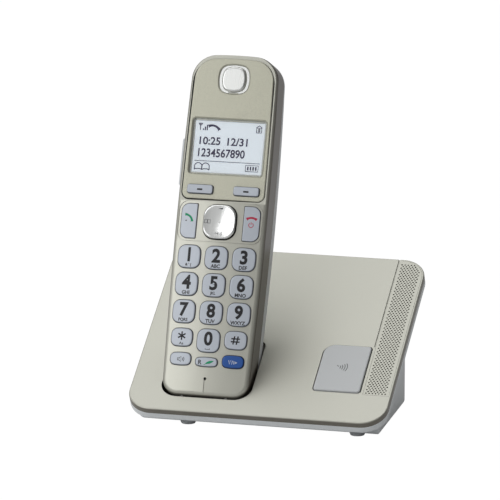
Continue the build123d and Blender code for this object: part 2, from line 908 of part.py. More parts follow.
with BuildPart() as handset_front_cover:
    add(handset_outside.part)
    split(bisect_by=handset_frame.offset(-seam_depth), keep=Keep.TOP)
    add(handset_cavity.part, mode=Mode.SUBTRACT)
    with BuildSketch(handset_frame.offset(shelf_level)):
        add(fascia_outline(fascia_gap))
    extrude(amount=fascia_thickness + 3, mode=Mode.SUBTRACT)
    with BuildSketch(handset_frame.offset(-flange_depth - 1)):
        for key in keypad:
            add(key_outline(key, key_gap))
        for name, side in call_keys:
            add(call_key_outline(side, key_gap))
        with Locations((0, call_row_y)):
            add(bulged_rectangle(*pad_hole, key_bulge, pad_radius + pad_gap))
        for name, side in soft_keys:
            with Locations((side * soft_key_x, soft_key_y)):
                RectangleRounded(
                    soft_key_width + 2 * key_gap,
                    soft_key_height + 2 * key_gap,
                    soft_key_radius + key_gap,
                )
        with Locations((0, display_y)):
            Rectangle(display_width - 2 * display_ledge, display_height - 2 * display_ledge)
        with Locations((0, earpiece_y)):
            Circle(receiver_radius - 1.2)
        with Locations((0, mic_y)):
            Circle(mic_hole_radius)
    extrude(amount=flange_depth + 5, mode=Mode.SUBTRACT)
    add(field_groove.part, mode=Mode.SUBTRACT)
    mic_groove = block(
        handset_frame.offset(mic_groove_level), 0, mic_groove_y, mic_groove_width, mic_y - 2.6, 3
    )
    add(mic_groove, mode=Mode.SUBTRACT)
    rocker_slot = block(
        handset_frame.offset(-rocker_depth - rocker_width / 2 - rocker_gap / 2),
        -handset_waist_half,
        rocker_y,
        3 * handset_wall,
        rocker_length + 2 * rocker_gap,
        rocker_width + rocker_gap,
    )
    add(rocker_slot, mode=Mode.SUBTRACT)
    for x, y in handset_screw_places:
        boss_top = -boss_sink
        if y > fascia_start:
            boss_top = shelf_level - shelf_thickness + boss_sink
        boss_foot = handset_frame.offset(-seam_depth)
        boss_length = seam_depth + boss_top
        add(pins(boss_foot, [(x, y)], boss_radius, boss_length))
        screw_hole = handset_screw_radius + screw_clearance
        add(pins(boss_foot, [(x, y)], screw_hole, boss_length - handset_wall), mode=Mode.SUBTRACT)
    for side in (-1, 1):
        slot = block(
            handset_end.offset(1),
            side * contact_x,
            -contact_depth,
            contact_plate + 0.3,
            contact_plate + 0.3,
            -handset_wall - 2,
        )
        add(slot, mode=Mode.SUBTRACT)
save(handset_front_cover, "handset_front_cover")

with BuildPart() as door_opening:
    opening_length = door_end - door_start + 2 * door_gap
    opening_y = (door_start + door_end) / 2
    opening_foot = handset_frame.offset(-handset_depth - 2)
    opening_height = handset_depth + 2 - tray_depth
    add(
        block(
            opening_foot, 0, opening_y, 2 * (door_half + door_gap), opening_length, opening_height
        )
    )

with BuildPart() as handset_rear_cover:
    add(handset_outside.part)
    split(bisect_by=handset_frame.offset(-seam_depth - seam_gap), keep=Keep.BOTTOM)
    add(handset_cavity.part, mode=Mode.SUBTRACT)
    tray_half = door_half + door_gap + tray_wall
    tray_start = door_start - door_travel - 2 * door_gap - tray_wall
    tray_end = door_end + door_gap + tray_wall
    tray_length = tray_end - tray_start
    tray_y = (tray_start + tray_end) / 2
    tray_height = depth_at_foot - 0.3 - tray_depth + tray_floor
    tray_foot = handset_frame.offset(-(depth_at_foot - 0.3))
    add(block(tray_foot, 0, tray_y, 2 * tray_half, tray_length, tray_height))
    wall_foot = handset_frame.offset(-handset_depth + 1.2)
    add(block(wall_foot, 0, tray_y + 10, 2 * tray_half, tray_length - 20, 4))
    add(door_opening.part, mode=Mode.SUBTRACT)
    for y in (cell_start - terminal_room, cell_start + cell_length + terminal_room):
        wall_height = depth_at_foot - 1 - tray_depth
        wall_plane = handset_frame.offset(-(depth_at_foot - 1))
        side = 1 if y > cell_start else -1
        middle = y + side * tray_wall / 2
        add(block(wall_plane, 0, middle, 2 * door_half + 1, tray_wall, wall_height))
    slide_zone = block(
        handset_frame.offset(-handset_depth - 2),
        0,
        door_start - door_travel / 2 - door_gap,
        2 * (door_half + door_gap),
        door_travel + 2 * door_gap,
        handset_depth + 2 - (depth_at_foot - door_thickness - 0.6),
    )
    add(slide_zone, mode=Mode.SUBTRACT)
    for x, y in handset_screw_places:
        tube_foot = handset_frame.offset(-seam_depth - seam_gap)
        back = depth_at_foot + 0.3 if y < fascia_start else depth_at_head + 1.1
        add(pins(tube_foot, [(x, y)], tube_radius, seam_depth + seam_gap - back))
        head_hole = handset_frame.offset(-handset_screw_seat)
        head_radius = handset_screw_head + screw_clearance
        add(pins(head_hole, [(x, y)], head_radius, -handset_depth), mode=Mode.SUBTRACT)
        shank_hole = handset_screw_radius + screw_clearance
        add(pins(tube_foot, [(x, y)], shank_hole, -5), mode=Mode.SUBTRACT)
    for row in range(ringer_rows):
        y = ringer_y + (row - (ringer_rows - 1) / 2) * ringer_pitch
        slot_foot = handset_frame.offset(-handset_depth - 1)
        slot = block(slot_foot, 0, y, ringer_slot_length, ringer_slot_width, 9)
        add(slot, mode=Mode.SUBTRACT)
save(handset_rear_cover, "handset_rear_cover")

with BuildPart() as battery_door:
    add(handset_outside.part)
    door_length = door_end - door_start
    door_block = block(
        handset_frame.offset(-handset_depth - 2), 0, opening_y, 2 * door_half, door_length, 9
    )
    add(door_block, mode=Mode.INTERSECT)
    add(handset_shape(door_thickness), mode=Mode.SUBTRACT)
    for row in range(grip_rows):
        y = door_end - grip_end_gap - row * grip_pitch
        grip_foot = handset_frame.offset(-handset_depth - door_grip_rise)
        grip_length = grip_longest - row * grip_step
        add(block(grip_foot, 0, y, grip_length, grip_width, door_thickness))
save(battery_door, "battery_door")

# Display panel, window and earpiece

with BuildPart() as display_fascia:
    add(fascia_shape.part)
    fillet(faces().sort_by(handset_out)[-1].edges(), 0.5)
    with BuildSketch(handset_frame.offset(-fascia_thickness)):
        with Locations((0, display_y)):
            RectangleRounded(display_width, display_height, display_corner)
        with Locations((0, earpiece_y)):
            add(bulged_rectangle(earpiece_width, earpiece_height, 1.2, 4.2))
        for name, side in soft_keys:
            with Locations((side * soft_key_x, soft_key_y)):
                RectangleRounded(
                    soft_key_width + 2 * key_gap,
                    soft_key_height + 2 * key_gap,
                    soft_key_radius + key_gap,
                )
    extrude(amount=fascia_thickness + 2, mode=Mode.SUBTRACT)
    inner_rims = faces().sort_by(handset_out)[-1].inner_wires()
    chamfer(inner_rims.sort_by(handset_up)[-1].edges(), 0.6)
    window_rim = faces().sort_by(handset_out)[-1].inner_wires().sort_by(SortBy.LENGTH)[-1]
    chamfer(window_rim.edges(), display_bevel)
save(display_fascia, "display_fascia")

with BuildPart() as display_window:
    window_top = handset_frame.offset(fascia_rise - window_drop)
    with BuildSketch(window_top):
        with Locations((0, display_y)):
            RectangleRounded(display_width - 0.2, display_height - 0.2, display_corner)
    extrude(amount=-window_thickness)
save(display_window, "display_window")

with BuildPart() as lcd_module:
    glass_width = display_width - 2 * display_ledge - 0.4
    glass_height = display_height - 2 * display_ledge - 0.4
    glass_top = handset_frame.offset(shelf_level - 0.05)
    add(block(glass_top, 0, display_y, glass_width, glass_height, -shelf_thickness - 0.2))
    frame_top = glass_top.offset(-shelf_thickness - 0.1)
    add(block(frame_top, 0, display_y, 41.0, glass_height + 5.5, -1.3))
save(lcd_module, "lcd_module")

with BuildPart() as earpiece_cover:
    cover_foot = handset_frame.offset(shelf_level + 0.1)
    with BuildSketch(cover_foot):
        with Locations((0, earpiece_y)):
            add(bulged_rectangle(earpiece_width - 0.2, earpiece_height - 0.2, 1.2, 4.1))
    extrude(amount=dome_base)
    with BuildSketch(cover_foot):
        with Locations((0, earpiece_y)):
            add(bulged_rectangle(dome_width, dome_height, 1.2, 3.8))
    extrude(amount=dome_base + dome_rise)
    fillet(faces().sort_by(handset_out)[-1].edges(), dome_rise * 0.9)
    slot_y = earpiece_y - (dome_height + earpiece_height) / 4
    slot_foot = cover_foot.offset(-0.5)
    sound_slot = block(slot_foot, 0, slot_y, sound_slot_width, sound_slot_height, 3)
    add(sound_slot, mode=Mode.SUBTRACT)
save(earpiece_cover, "earpiece_cover")

with BuildPart() as earpiece_receiver:
    receiver_top = handset_frame.offset(shelf_level - shelf_thickness - 0.1)
    add(pins(receiver_top, [(0, earpiece_y)], receiver_radius, -receiver_height))
    fillet(faces().sort_by(handset_out)[0].edges(), 0.8)
save(earpiece_receiver, "earpiece_receiver")

# What the handset holds

board_plane = handset_frame.offset(-handset_board_depth)
board_y = (handset_board_start + handset_board_end) / 2
with BuildPart() as handset_circuit_board:
    with BuildSketch(board_plane):
        with Locations((0, board_y)):
            length = handset_board_end - handset_board_start
            RectangleRounded(2 * handset_board_half, length, 3)
    extrude(amount=-handset_board_thickness)
    with BuildSketch(board_plane.offset(-handset_board_thickness)):
        with Locations((0, 92)):
            Rectangle(22, 20)
    extrude(amount=-2)
save(handset_circuit_board, "handset_circuit_board")

with BuildPart() as keypad_membrane:
    membrane_foot = handset_frame.offset(-membrane_depth - membrane_thickness)
    membrane_start = handset_board_start + 0.5
    membrane_end = call_row_y + call_key_height / 2 + 1
    membrane_y = (membrane_start + membrane_end) / 2
    membrane_length = membrane_end - membrane_start
    add(block(membrane_foot, 0, membrane_y, 38, membrane_length, membrane_thickness))
save(keypad_membrane, "keypad_membrane")

with BuildPart() as microphone:
    mic_foot = handset_frame.offset(-handset_wall - 1.2)
    add(pins(mic_foot, [(0, mic_y)], mic_radius, -mic_height))
save(microphone, "microphone")

with BuildPart() as ringer_loudspeaker:
    ringer_foot = handset_frame.offset(-ringer_depth)
    add(pins(ringer_foot, [(0, ringer_y)], ringer_radius, ringer_height * 0.4))
    add(pins(ringer_foot, [(0, ringer_y)], ringer_radius * 0.7, ringer_height))
save(ringer_loudspeaker, "ringer_loudspeaker")

cell_end = Plane(
    origin=handset_frame.from_local_coords((0, cell_start, -cell_depth)),
    x_dir=handset_frame.x_dir,
    z_dir=handset_frame.y_dir,
)
with BuildPart() as battery_cells:
    cell_places = [(-cell_x, 0), (cell_x, 0)]
    add(pins(cell_end, cell_places, cell_radius, cell_length - 1))
    add(pins(cell_end, cell_places, cell_radius / 3, cell_length))
save(battery_cells, "battery_cells")

with BuildPart() as battery_terminals:
    for start in (-terminal_room + 0.1, cell_length + 0.2):
        for x in (-cell_x, cell_x):
            add(block(cell_end.offset(start), x, 0, 8, 7, 0.4))
save(battery_terminals, "battery_terminals")

with BuildPart() as handset_charge_contacts:
    plate_foot = handset_end.offset(-seat_gap)
    for side in (-1, 1):
        add(
            block(
                plate_foot,
                side * contact_x,
                -contact_depth,
                contact_plate,
                contact_plate,
                -handset_wall,
            )
        )
save(handset_charge_contacts, "handset_charge_contacts")

with BuildPart() as handset_screws:
    screw_seat = handset_frame.offset(-handset_screw_seat - 0.05)
    add(pins(screw_seat, handset_screw_places, handset_screw_head, -1.4))
    add(pins(screw_seat.offset(-0.5), handset_screw_places, handset_screw_radius, 9.5))
save(handset_screws, "handset_screws")

# Keys

for key in keypad:
    with BuildPart() as cap:
        with BuildSketch(handset_frame.offset(-flange_depth)):
            add(key_outline(key, 0))
        extrude(amount=flange_depth + face_crown + key_rise + 1)
        crown = crown_over_key(key.x, key.y, key.width, key.height, key_rise)
        add(crown, mode=Mode.INTERSECT)
        fillet(faces().sort_by(handset_out)[-1].edges(), key_edge)
        with BuildSketch(handset_frame.offset(-flange_depth)):
            add(key_outline(key, key_flange))
        extrude(amount=-flange_thickness)
    save(cap, key.name)

for name, side in call_keys:
    with BuildPart() as cap:
        with BuildSketch(handset_frame.offset(-flange_depth)):
            add(call_key_outline(side, 0))
        extrude(amount=flange_depth + face_crown + key_rise + 1)
        key_size = (call_key_width, call_key_height)
        crown = crown_over_key(side * call_key_x, call_row_y, *key_size, call_key_rise)
        add(crown, mode=Mode.INTERSECT)
        fillet(faces().sort_by(handset_out)[-1].edges(), call_key_edge)
        with BuildSketch(handset_frame.offset(-flange_depth)):
            add(call_key_outline(side, key_flange))
        extrude(amount=-flange_thickness)
    save(cap, name)

for name, side in soft_keys:
    with BuildPart() as cap:
        soft_place = (side * soft_key_x, soft_key_y)
        soft_flange = shelf_level - shelf_thickness - 1.5 * assembly_gap
        with BuildSketch(handset_frame.offset(soft_flange)):
            with Locations(soft_place):
                RectangleRounded(soft_key_width, soft_key_height, soft_key_radius)
        extrude(amount=fascia_rise + soft_key_rise - soft_flange)
        fillet(faces().sort_by(handset_out)[-1].edges(), soft_key_edge)
        soft_foot = handset_frame.offset(soft_flange)
        flange_width = soft_key_width + 2 * soft_key_flange
        flange_height = soft_key_height + 2 * soft_key_flange
        flange = block(
            soft_foot, *soft_place, flange_width, flange_height, -soft_key_flange_thickness
        )
        add(flange)
    save(cap, name)

with BuildPart() as navigator_pad:
    with BuildSketch(handset_frame.offset(pad_foot)):
        with Locations((0, call_row_y)):
            add(bulged_rectangle(pad_width, pad_height, key_bulge, pad_radius))
    extrude(amount=pad_rise + face_crown - pad_foot)
    fillet(faces().sort_by(handset_out)[-1].edges(), pad_edge)
    dish_radius = (pad_width**2 / 4 + pad_dish**2) / (2 * pad_dish)
    dish_level = face_crown + pad_rise - pad_dish + dish_radius
    with Locations(handset_frame.offset(dish_level).location):
        with Locations((0, call_row_y, 0)):
            Sphere(dish_radius, mode=Mode.SUBTRACT)
save(navigator_pad, "navigator_pad")

with BuildPart() as navigator_carrier:
    carrier_top = handset_frame.offset(pad_foot - pad_carrier_gap)
    carrier_size = pad_width - 2 * pad_carrier_inset
    carrier = block(
        carrier_top, 0, call_row_y, carrier_size, carrier_size, -pad_carrier_thickness
    )
    add(carrier)
save(navigator_carrier, "navigator_carrier")

rocker_foot = handset_frame.offset(-rocker_depth - rocker_width / 2)
rocker_outer = handset_waist_half + rocker_rise
with BuildPart() as volume_rocker:
    rocker_inner = handset_waist_half - handset_wall - rocker_lip
    middle = -(rocker_outer + rocker_inner) / 2
    thickness = rocker_outer - rocker_inner
    add(block(rocker_foot, middle, rocker_y, thickness, rocker_length, rocker_width))
    fillet(faces().sort_by(Axis.X)[0].edges(), rocker_edge)
save(volume_rocker, "volume_rocker")

with BuildPart() as volume_switch:
    switch_x = -(handset_board_half - volume_switch_overhang)
    switch_foot = handset_frame.offset(-handset_board_depth - handset_board_thickness)
    switch_size_flat = (volume_switch_width, volume_switch_length)
    add(block(switch_foot, switch_x, rocker_y, *switch_size_flat, -volume_switch_height))
save(volume_switch, "volume_switch")
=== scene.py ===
"""Looks of a cordless landline telephone that stands in its sloping charging base.

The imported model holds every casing, key, jack and cell. This add-on gives each of them its finish, and
adds what is printed, moulded or laid on them. Drawings are in millimetres on a face of the telephone.
"""

import json
import math

import bmesh
import bpy
from bpy.props import FloatProperty, FloatVectorProperty, IntProperty, PointerProperty, StringProperty
from mathutils import Matrix, Vector


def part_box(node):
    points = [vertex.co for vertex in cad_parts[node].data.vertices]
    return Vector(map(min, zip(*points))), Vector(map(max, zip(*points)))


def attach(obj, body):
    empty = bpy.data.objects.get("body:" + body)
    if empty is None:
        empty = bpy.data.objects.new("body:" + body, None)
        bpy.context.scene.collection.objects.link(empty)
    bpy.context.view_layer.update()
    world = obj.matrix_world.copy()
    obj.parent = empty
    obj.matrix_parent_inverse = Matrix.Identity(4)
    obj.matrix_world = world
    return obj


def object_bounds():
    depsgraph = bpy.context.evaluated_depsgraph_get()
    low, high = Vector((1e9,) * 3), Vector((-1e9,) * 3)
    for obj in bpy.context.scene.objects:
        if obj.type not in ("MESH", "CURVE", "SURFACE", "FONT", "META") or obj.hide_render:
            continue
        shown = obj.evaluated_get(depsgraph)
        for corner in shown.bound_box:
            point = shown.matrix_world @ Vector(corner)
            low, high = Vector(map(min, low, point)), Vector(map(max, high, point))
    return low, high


bl_info = {
    "name": "Landline telephone looks",
    "version": (1, 0, 0),
    "blender": (4, 5, 0),
    "location": "View3D > Sidebar > Telephone",
    "description": "Finishes, legends and small parts of a landline telephone in its charging base",
    "category": "Object",
}

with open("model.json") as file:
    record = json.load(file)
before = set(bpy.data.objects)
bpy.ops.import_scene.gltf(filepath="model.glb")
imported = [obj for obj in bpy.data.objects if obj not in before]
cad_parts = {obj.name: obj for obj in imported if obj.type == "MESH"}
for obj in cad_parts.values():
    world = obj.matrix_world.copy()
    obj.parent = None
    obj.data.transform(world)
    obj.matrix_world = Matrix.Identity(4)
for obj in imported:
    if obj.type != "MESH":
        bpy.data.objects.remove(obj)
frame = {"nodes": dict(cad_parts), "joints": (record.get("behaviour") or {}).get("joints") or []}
cad_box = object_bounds()
joints = {joint["name"]: joint for joint in frame["joints"]}

MM = 0.001

# Sizes that the finishes and legends share with the model, in millimetres
CROWN_RADIUS = 170.0
KEY_RISE = 0.9
CALL_KEY_RISE = 0.6
SOFT_KEY_TOP = 1.5
FASCIA_TOP = 0.1
PICTURE_LEVEL = -1.64
PAD_RISE = 1.9
PAD_DISH = 0.8
LOCATOR_RISE = 0.8
PRINT_LIFT = 0.012
PRINT_THICKNESS = 0.03
CLOTH_LEVEL = -1.52
CLOTH_MARGIN = 1.8
CLOTH_THICKNESS = 0.15
CLOTH_CORNER = 8

# The stage: lamps in metres, each with its place and its width
FRONT_LAMP = ((-0.78, -0.95, 0.72), 0.85)
TOP_LAMP = ((-0.25, 0.25, 1.25), 0.9)
FLOOR_SEEN = 0.95
FLOOR_GLOW = 1.05


# ------------------------------------------------------------------ faces of the telephone


def reach(node, axis):
    """Return how far a node reaches along an axis, low and high, in millimetres."""
    along = [vertex.co.dot(axis) / MM for vertex in frame["nodes"][node].data.vertices]
    return min(along), max(along)


class Face:
    """A flat working plane on the telephone: x across, y up along it and z outwards."""

    def __init__(self, up, side_node, foot_node, top_node, top_level):
        self.x = Vector((1, 0, 0))
        self.y = Vector(up).normalized()
        self.z = self.x.cross(self.y)
        left, right = reach(side_node, self.x)
        foot = reach(foot_node, self.y)[0]
        top = reach(top_node, self.z)[1] - top_level
        self.origin = (self.x * (left + right) / 2 + self.y * foot + self.z * top) * MM

    def at(self, x, y, z):
        """Return the world point of a place on the face, given in millimetres."""
        return self.origin + (self.x * x + self.y * y + self.z * z) * MM

    def middle(self, node):
        """Return the middle of a node's box on this face, in millimetres."""
        low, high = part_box(node)
        offset = (low + high) / 2 - self.origin
        return offset.dot(self.x) / MM, offset.dot(self.y) / MM


handset = Face(
    joints["handset_lift"]["axis"], "display_fascia", "handset_front_cover", "display_fascia", FASCIA_TOP
)
press_axis = Vector(joints["locator_press"]["axis"])
plate = Face(
    Vector((1, 0, 0)).cross(press_axis), "base_top_cover", "base_top_cover", "base_top_cover", 0
)


def crowned(rise):
    """Return the height of a surface that follows the handset's crowned front, raised by rise."""

    def height(x, y):
        return 1 - CROWN_RADIUS + math.sqrt((CROWN_RADIUS + rise) ** 2 - x * x)

    return height


def level(value):
    """Return the height of a flat surface."""
    return lambda x, y: value


pad_x, pad_y = handset.middle("navigator_pad")
pad_half = (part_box("navigator_pad")[1].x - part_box("navigator_pad")[0].x) / MM / 2


def dished(x, y):
    """Return the height of the navigator pad's hollow top."""
    radius = (pad_half**2 + PAD_DISH**2) / (2 * PAD_DISH)
    out = (x - pad_x) ** 2 + (y - pad_y) ** 2
    return 1 + PAD_RISE - PAD_DISH + radius - math.sqrt(radius**2 - out)


# ------------------------------------------------------------------ sizes and colours to change


class TelephoneColours(bpy.types.PropertyGroup):
    """Colours of the telephone's finishes."""

    def paint(name, description, default):
        return FloatVectorProperty(
            name=name, description=description, subtype="COLOR", size=3, min=0, max=1, default=default
        )

    champagne: paint("Champagne", "Pearl paint of the covers", (0.60, 0.60, 0.53))
    fascia: paint("Display panel", "Satin paint of the display panel", (0.59, 0.585, 0.475))
    # Painted shade: this dark brown stands in for the shade on the handset's side walls, which are champagne
    # paint.
    side: paint("Side", "Shaded paint of the handset's side walls", (0.115, 0.095, 0.08))
    housing: paint("Housing", "White plastic of the rear shells", (0.80, 0.83, 0.85))
    keys: paint("Keys", "Pale blue-grey plastic of the keys", (0.62, 0.67, 0.75))
    # Painted shade: a dark colour that stands in for the shade and dark reflection on the keys' rounded
    # edges.
    key_rim: paint("Key edge shade", "Darker edge of the keys", (0.16, 0.18, 0.23))
    blue: paint("Blue key", "Plastic of the noise key", (0.012, 0.10, 0.42))
    green: paint("Talk green", "Print of the talk mark", (0.0, 0.36, 0.16))
    red: paint("Off red", "Print of the off mark", (0.62, 0.035, 0.09))
    ink: paint("Ink", "Print of the numbers", (0.012, 0.012, 0.016))
    picture: paint("Picture", "Dots of the display", (0.045, 0.028, 0.10))
    screen: paint("Screen", "Lit ground of the display", (0.83, 0.88, 0.92))
    floor: paint("Floor", "Floor under the telephone", (0.86, 0.86, 0.86))


class TelephoneSizes(bpy.types.PropertyGroup):
    """Sizes of what is printed on the telephone."""

    digit_height: FloatProperty(
        name="Digit height", description="Height of the numbers on the keys", unit="LENGTH", default=0.0071
    )
    digit_stretch: FloatProperty(
        name="Digit width", description="Width of the numbers against the font's own", default=0.93
    )
    digit_weight: FloatProperty(
        name="Digit weight", description="Thickening of the numbers' strokes", default=0.036
    )
    letter_height: FloatProperty(
        name="Letter height", description="Height of the letters on the keys", unit="LENGTH", default=0.0019
    )
    # Painted shade: the black strip beside the display panel stands in for the shade in the gap there.
    seal_radius: FloatProperty(
        name="Shade strip", description="Radius of the seal beside the display panel", unit="LENGTH", default=0.00042
    )
    grille_pitch: FloatProperty(
        name="Grille cloth", description="Pitch of the dust cloth's weave", unit="LENGTH", default=0.0006
    )


class TelephoneStage(bpy.types.PropertyGroup):
    """Camera, light and floor."""

    lens: FloatProperty(name="Lens", description="Focal length", subtype="DISTANCE_CAMERA", default=360)
    sky: FloatProperty(name="Sky", description="Strength of the surrounding light", default=0.52)
    front_power: FloatProperty(name="Front light", description="Power, in watts", default=3.2)
    top_power: FloatProperty(name="Top light", description="Power, in watts", default=2.4)
    floor_width: FloatProperty(name="Floor width", unit="LENGTH", default=14)


def colours():
    return bpy.context.scene.telephone_colours


def sizes():
    return bpy.context.scene.telephone_sizes


# ------------------------------------------------------------------ shader arithmetic


class Wire:
    """One output socket of a shader, which takes part in sums."""

    def __init__(self, sheet, socket):
        self.sheet = sheet
        self.socket = socket

    def math(self, operation, *others):
        made = self.sheet.node("ShaderNodeMath", {"operation": operation}, dict(enumerate((self, *others))))
        return made

    def __add__(self, other):
        return self.math("ADD", other)

    __radd__ = __add__

    def __mul__(self, other):
        return self.math("MULTIPLY", other)

    __rmul__ = __mul__

    def __sub__(self, other):
        return self.math("SUBTRACT", other)

    def __rsub__(self, other):
        return (self * -1) + other

    def __truediv__(self, other):
        return self.math("DIVIDE", other)

    def over(self, low, high):
        """Rise from 0 at low to 1 at high, and stay inside those limits."""
        made = (self - low) / (high - low)
        return made.math("MAXIMUM", 0).math("MINIMUM", 1)

    def dot(self, axis):
        """Return this vector's length along an axis."""
        settings = {"operation": "DOT_PRODUCT"}
        return self.sheet.node("ShaderNodeVectorMath", settings, {0: self, 1: tuple(axis)}, "Value")


class Finish:
    """One material and the shader nodes in it."""

    def __init__(self, name):
        self.material = bpy.data.materials.new(name)
        self.material.use_nodes = True
        self.tree = self.material.node_tree
        self.tree.nodes.clear()
        self.end = self.tree.nodes.new("ShaderNodeOutputMaterial")

    def node(self, kind, settings=None, sockets=None, output=0):
        """Add a node: its settings first, then the values and links of its sockets."""
        made = self.tree.nodes.new(kind)
        for setting, value in (settings or {}).items():
            if setting == "stops":
                for place, (position, colour) in enumerate(value):
                    ramp = made.color_ramp.elements
                    stop = ramp[place] if place < 2 else ramp.new(position)
                    stop.position = position
                    stop.color = (*colour, 1)
            else:
                setattr(made, setting, value)
        for socket, value in (sockets or {}).items():
            if isinstance(value, Wire):
                self.tree.links.new(value.socket, made.inputs[socket])
            elif made.inputs[socket].type == "RGBA":
                made.inputs[socket].default_value = (*value, 1)
            else:
                made.inputs[socket].default_value = value
        return Wire(self, made.outputs[output])

    def place(self):
        return self.node("ShaderNodeTexCoord", output="Object")

    def noise(self, scale, detail=2.0, place=None):
        """Return a noise with so many cells to the metre."""
        sockets = {"Vector": place or self.place(), "Scale": scale, "Detail": detail}
        return self.node("ShaderNodeTexNoise", sockets=sockets)

    def cells(self, scale, randomness=1.0, place=None):
        """Return the distance to the nearest of scattered points."""
        sockets = {"Vector": place or self.place(), "Scale": scale, "Randomness": randomness}
        return self.node("ShaderNodeTexVoronoi", sockets=sockets, output="Distance")

    def mix(self, share, first, second):
        """Mix two colours."""
        sockets = {0: share, 6: first, 7: second}
        return self.node("ShaderNodeMix", {"data_type": "RGBA"}, sockets, 2)

    def shade(self, colour, amount):
        """Make a colour lighter or darker."""
        return self.node("ShaderNodeVectorMath", {"operation": "SCALE"}, {0: tuple(colour), "Scale": amount})

    def bump(self, height, depth, strength=1.0):
        sockets = {"Height": height, "Distance": depth, "Strength": strength}
        return self.node("ShaderNodeBump", sockets=sockets)

    def facing(self, axis):
        """Return how far the surface faces along an axis: 1 when straight along it."""
        return self.node("ShaderNodeNewGeometry", output="Normal").dot(axis)

    def surface(self, **sockets):
        """End the finish with one Principled shader."""
        named = {name.replace("_", " "): value for name, value in sockets.items()}
        shader = self.node("ShaderNodeBsdfPrincipled", sockets=named)
        return self.close(shader)

    def close(self, shader):
        self.tree.links.new(shader.socket, self.end.inputs["Surface"])
        return self.material


# ------------------------------------------------------------------ finishes


def pearl_paint(name, colour, wall_shade_colour, outwards, metal=0.45, rough=0.34):
    """Pearl paint with fine flakes, and painted shade: walls that turn away from the front take a darker
    colour.
    """
    sheet = Finish(name)
    flakes = sheet.noise(7000, 1)
    clouds = sheet.noise(30, 2)
    # Painted shade: the front colour gives way to the dark wall colour where the wall turns away from the
    # front.
    front = sheet.facing(outwards).over(0.25, 0.86)
    tone = flakes * 0.10 + clouds * 0.05 + 0.925
    painted = sheet.mix(front, tuple(wall_shade_colour), tuple(colour))
    toned = sheet.node("ShaderNodeVectorMath", {"operation": "SCALE"}, {0: painted, "Scale": tone})
    return sheet.surface(
        Base_Color=toned,
        Metallic=metal,
        Roughness=flakes * 0.10 + clouds * 0.04 + (rough - 0.07),
        Coat_Weight=0.25,
        Coat_Roughness=0.22,
        Normal=sheet.bump(flakes, 0.00002, 0.25),
    )


def moulded_plastic(name, colour, rough=0.42, grain=2600, depth=0.00003):
    """Moulded plastic with a fine eroded texture and faint flow marks."""
    sheet = Finish(name)
    texture = sheet.cells(grain)
    flow = sheet.noise(22, 3)
    return sheet.surface(
        Base_Color=sheet.shade(colour, flow * 0.07 + 0.965),
        Roughness=texture * 0.10 + flow * 0.06 + (rough - 0.08),
        Normal=sheet.bump(texture, depth, 0.35),
    )


def key_plastic(name, colour, edge_shade_colour, metal=0.12):
    """Satin key plastic with painted shade: its rounded edge takes a darker colour."""
    sheet = Finish(name)
    haze = sheet.noise(260, 2)
    grain = sheet.noise(5200, 1)
    # Painted shade: where the key turns away from the front, the dark edge colour takes over.
    top = sheet.facing(handset.z).over(0.62, 0.955)
    body = sheet.mix(top, tuple(edge_shade_colour), tuple(colour))
    tone = haze * 0.08 + grain * 0.05 + 0.935
    return sheet.surface(
        Base_Color=sheet.node("ShaderNodeVectorMath", {"operation": "SCALE"}, {0: body, "Scale": tone}),
        Metallic=metal,
        Roughness=grain * 0.10 + 0.27,
        Coat_Weight=0.35,
        Coat_Roughness=0.12,
        Normal=sheet.bump(grain, 0.00001, 0.3),
    )


def bright_metal(name, colour, rough=0.16, lines=900, across=(1, 0, 0)):
    """Metal with hairlines across one direction."""
    sheet = Finish(name)
    along = sheet.place().dot(across)
    grooves = sheet.node(
        "ShaderNodeTexNoise", {"noise_dimensions": "1D"}, {"W": along, "Scale": lines * 4, "Detail": 3}
    )
    stain = sheet.noise(60, 3)
    return sheet.surface(
        Base_Color=sheet.shade(colour, grooves * 0.08 + stain * 0.06 + 0.93),
        Metallic=1.0,
        Roughness=grooves * 0.10 + stain * 0.06 + (rough - 0.06),
        Normal=sheet.bump(grooves, 0.000004, 0.3),
    )


def soft_rubber(name, colour):
    """Matt rubber with a dusty bloom."""
    sheet = Finish(name)
    pores = sheet.noise(3800, 3)
    bloom = sheet.noise(70, 4)
    return sheet.surface(
        Base_Color=sheet.shade(colour, bloom * 0.25 + pores * 0.10 + 0.83),
        Roughness=bloom * 0.10 + 0.68,
        Normal=sheet.bump(pores, 0.00004, 0.5),
    )


def circuit_board(name):
    """Green solder mask over copper tracks."""
    sheet = Finish(name)
    place = sheet.place()
    across = place.dot(handset.x) * 420
    upwards = place.dot(handset.y) * 260
    lanes = across.math("FRACT").over(0.55, 0.62)
    gaps = upwards.math("FRACT").over(0.12, 0.18)
    tracks = lanes * gaps
    return sheet.surface(
        Base_Color=sheet.mix(tracks, (0.012, 0.13, 0.045), (0.05, 0.26, 0.08)),
        Roughness=tracks * 0.12 + 0.30,
        Normal=sheet.bump(tracks, 0.00003, 0.6),
    )


def cell_wrap(name):
    """Printed plastic wrap of a battery cell: a plain colour with a pale band."""
    sheet = Finish(name)
    low, high = reach("battery_cells", handset.y)
    along = (sheet.place().dot(handset.y) / MM).over(low, high)
    band = along.over(0.70, 0.71) - along.over(0.93, 0.94)
    creases = sheet.noise(900, 3)
    return sheet.surface(
        Base_Color=sheet.mix(band, (0.05, 0.28, 0.13), (0.75, 0.76, 0.74)),
        Metallic=0.2,
        Roughness=creases * 0.12 + 0.24,
        Normal=sheet.bump(creases, 0.00003, 0.3),
    )


def lit_screen(name, colour):
    """Backlit display ground with a faint grid of dots."""
    sheet = Finish(name)
    place = sheet.place()
    across = (place.dot(handset.x) * 2900).math("FRACT").over(0.04, 0.16)
    upwards = (place.dot(handset.y) * 2900).math("FRACT").over(0.04, 0.16)
    glow = sheet.noise(30, 1)
    tone = across * upwards * 0.06 + glow * 0.05 + 0.90
    lit = sheet.shade(colour, tone)
    return sheet.surface(Base_Color=lit, Roughness=0.5, Emission_Color=lit, Emission_Strength=0.42)


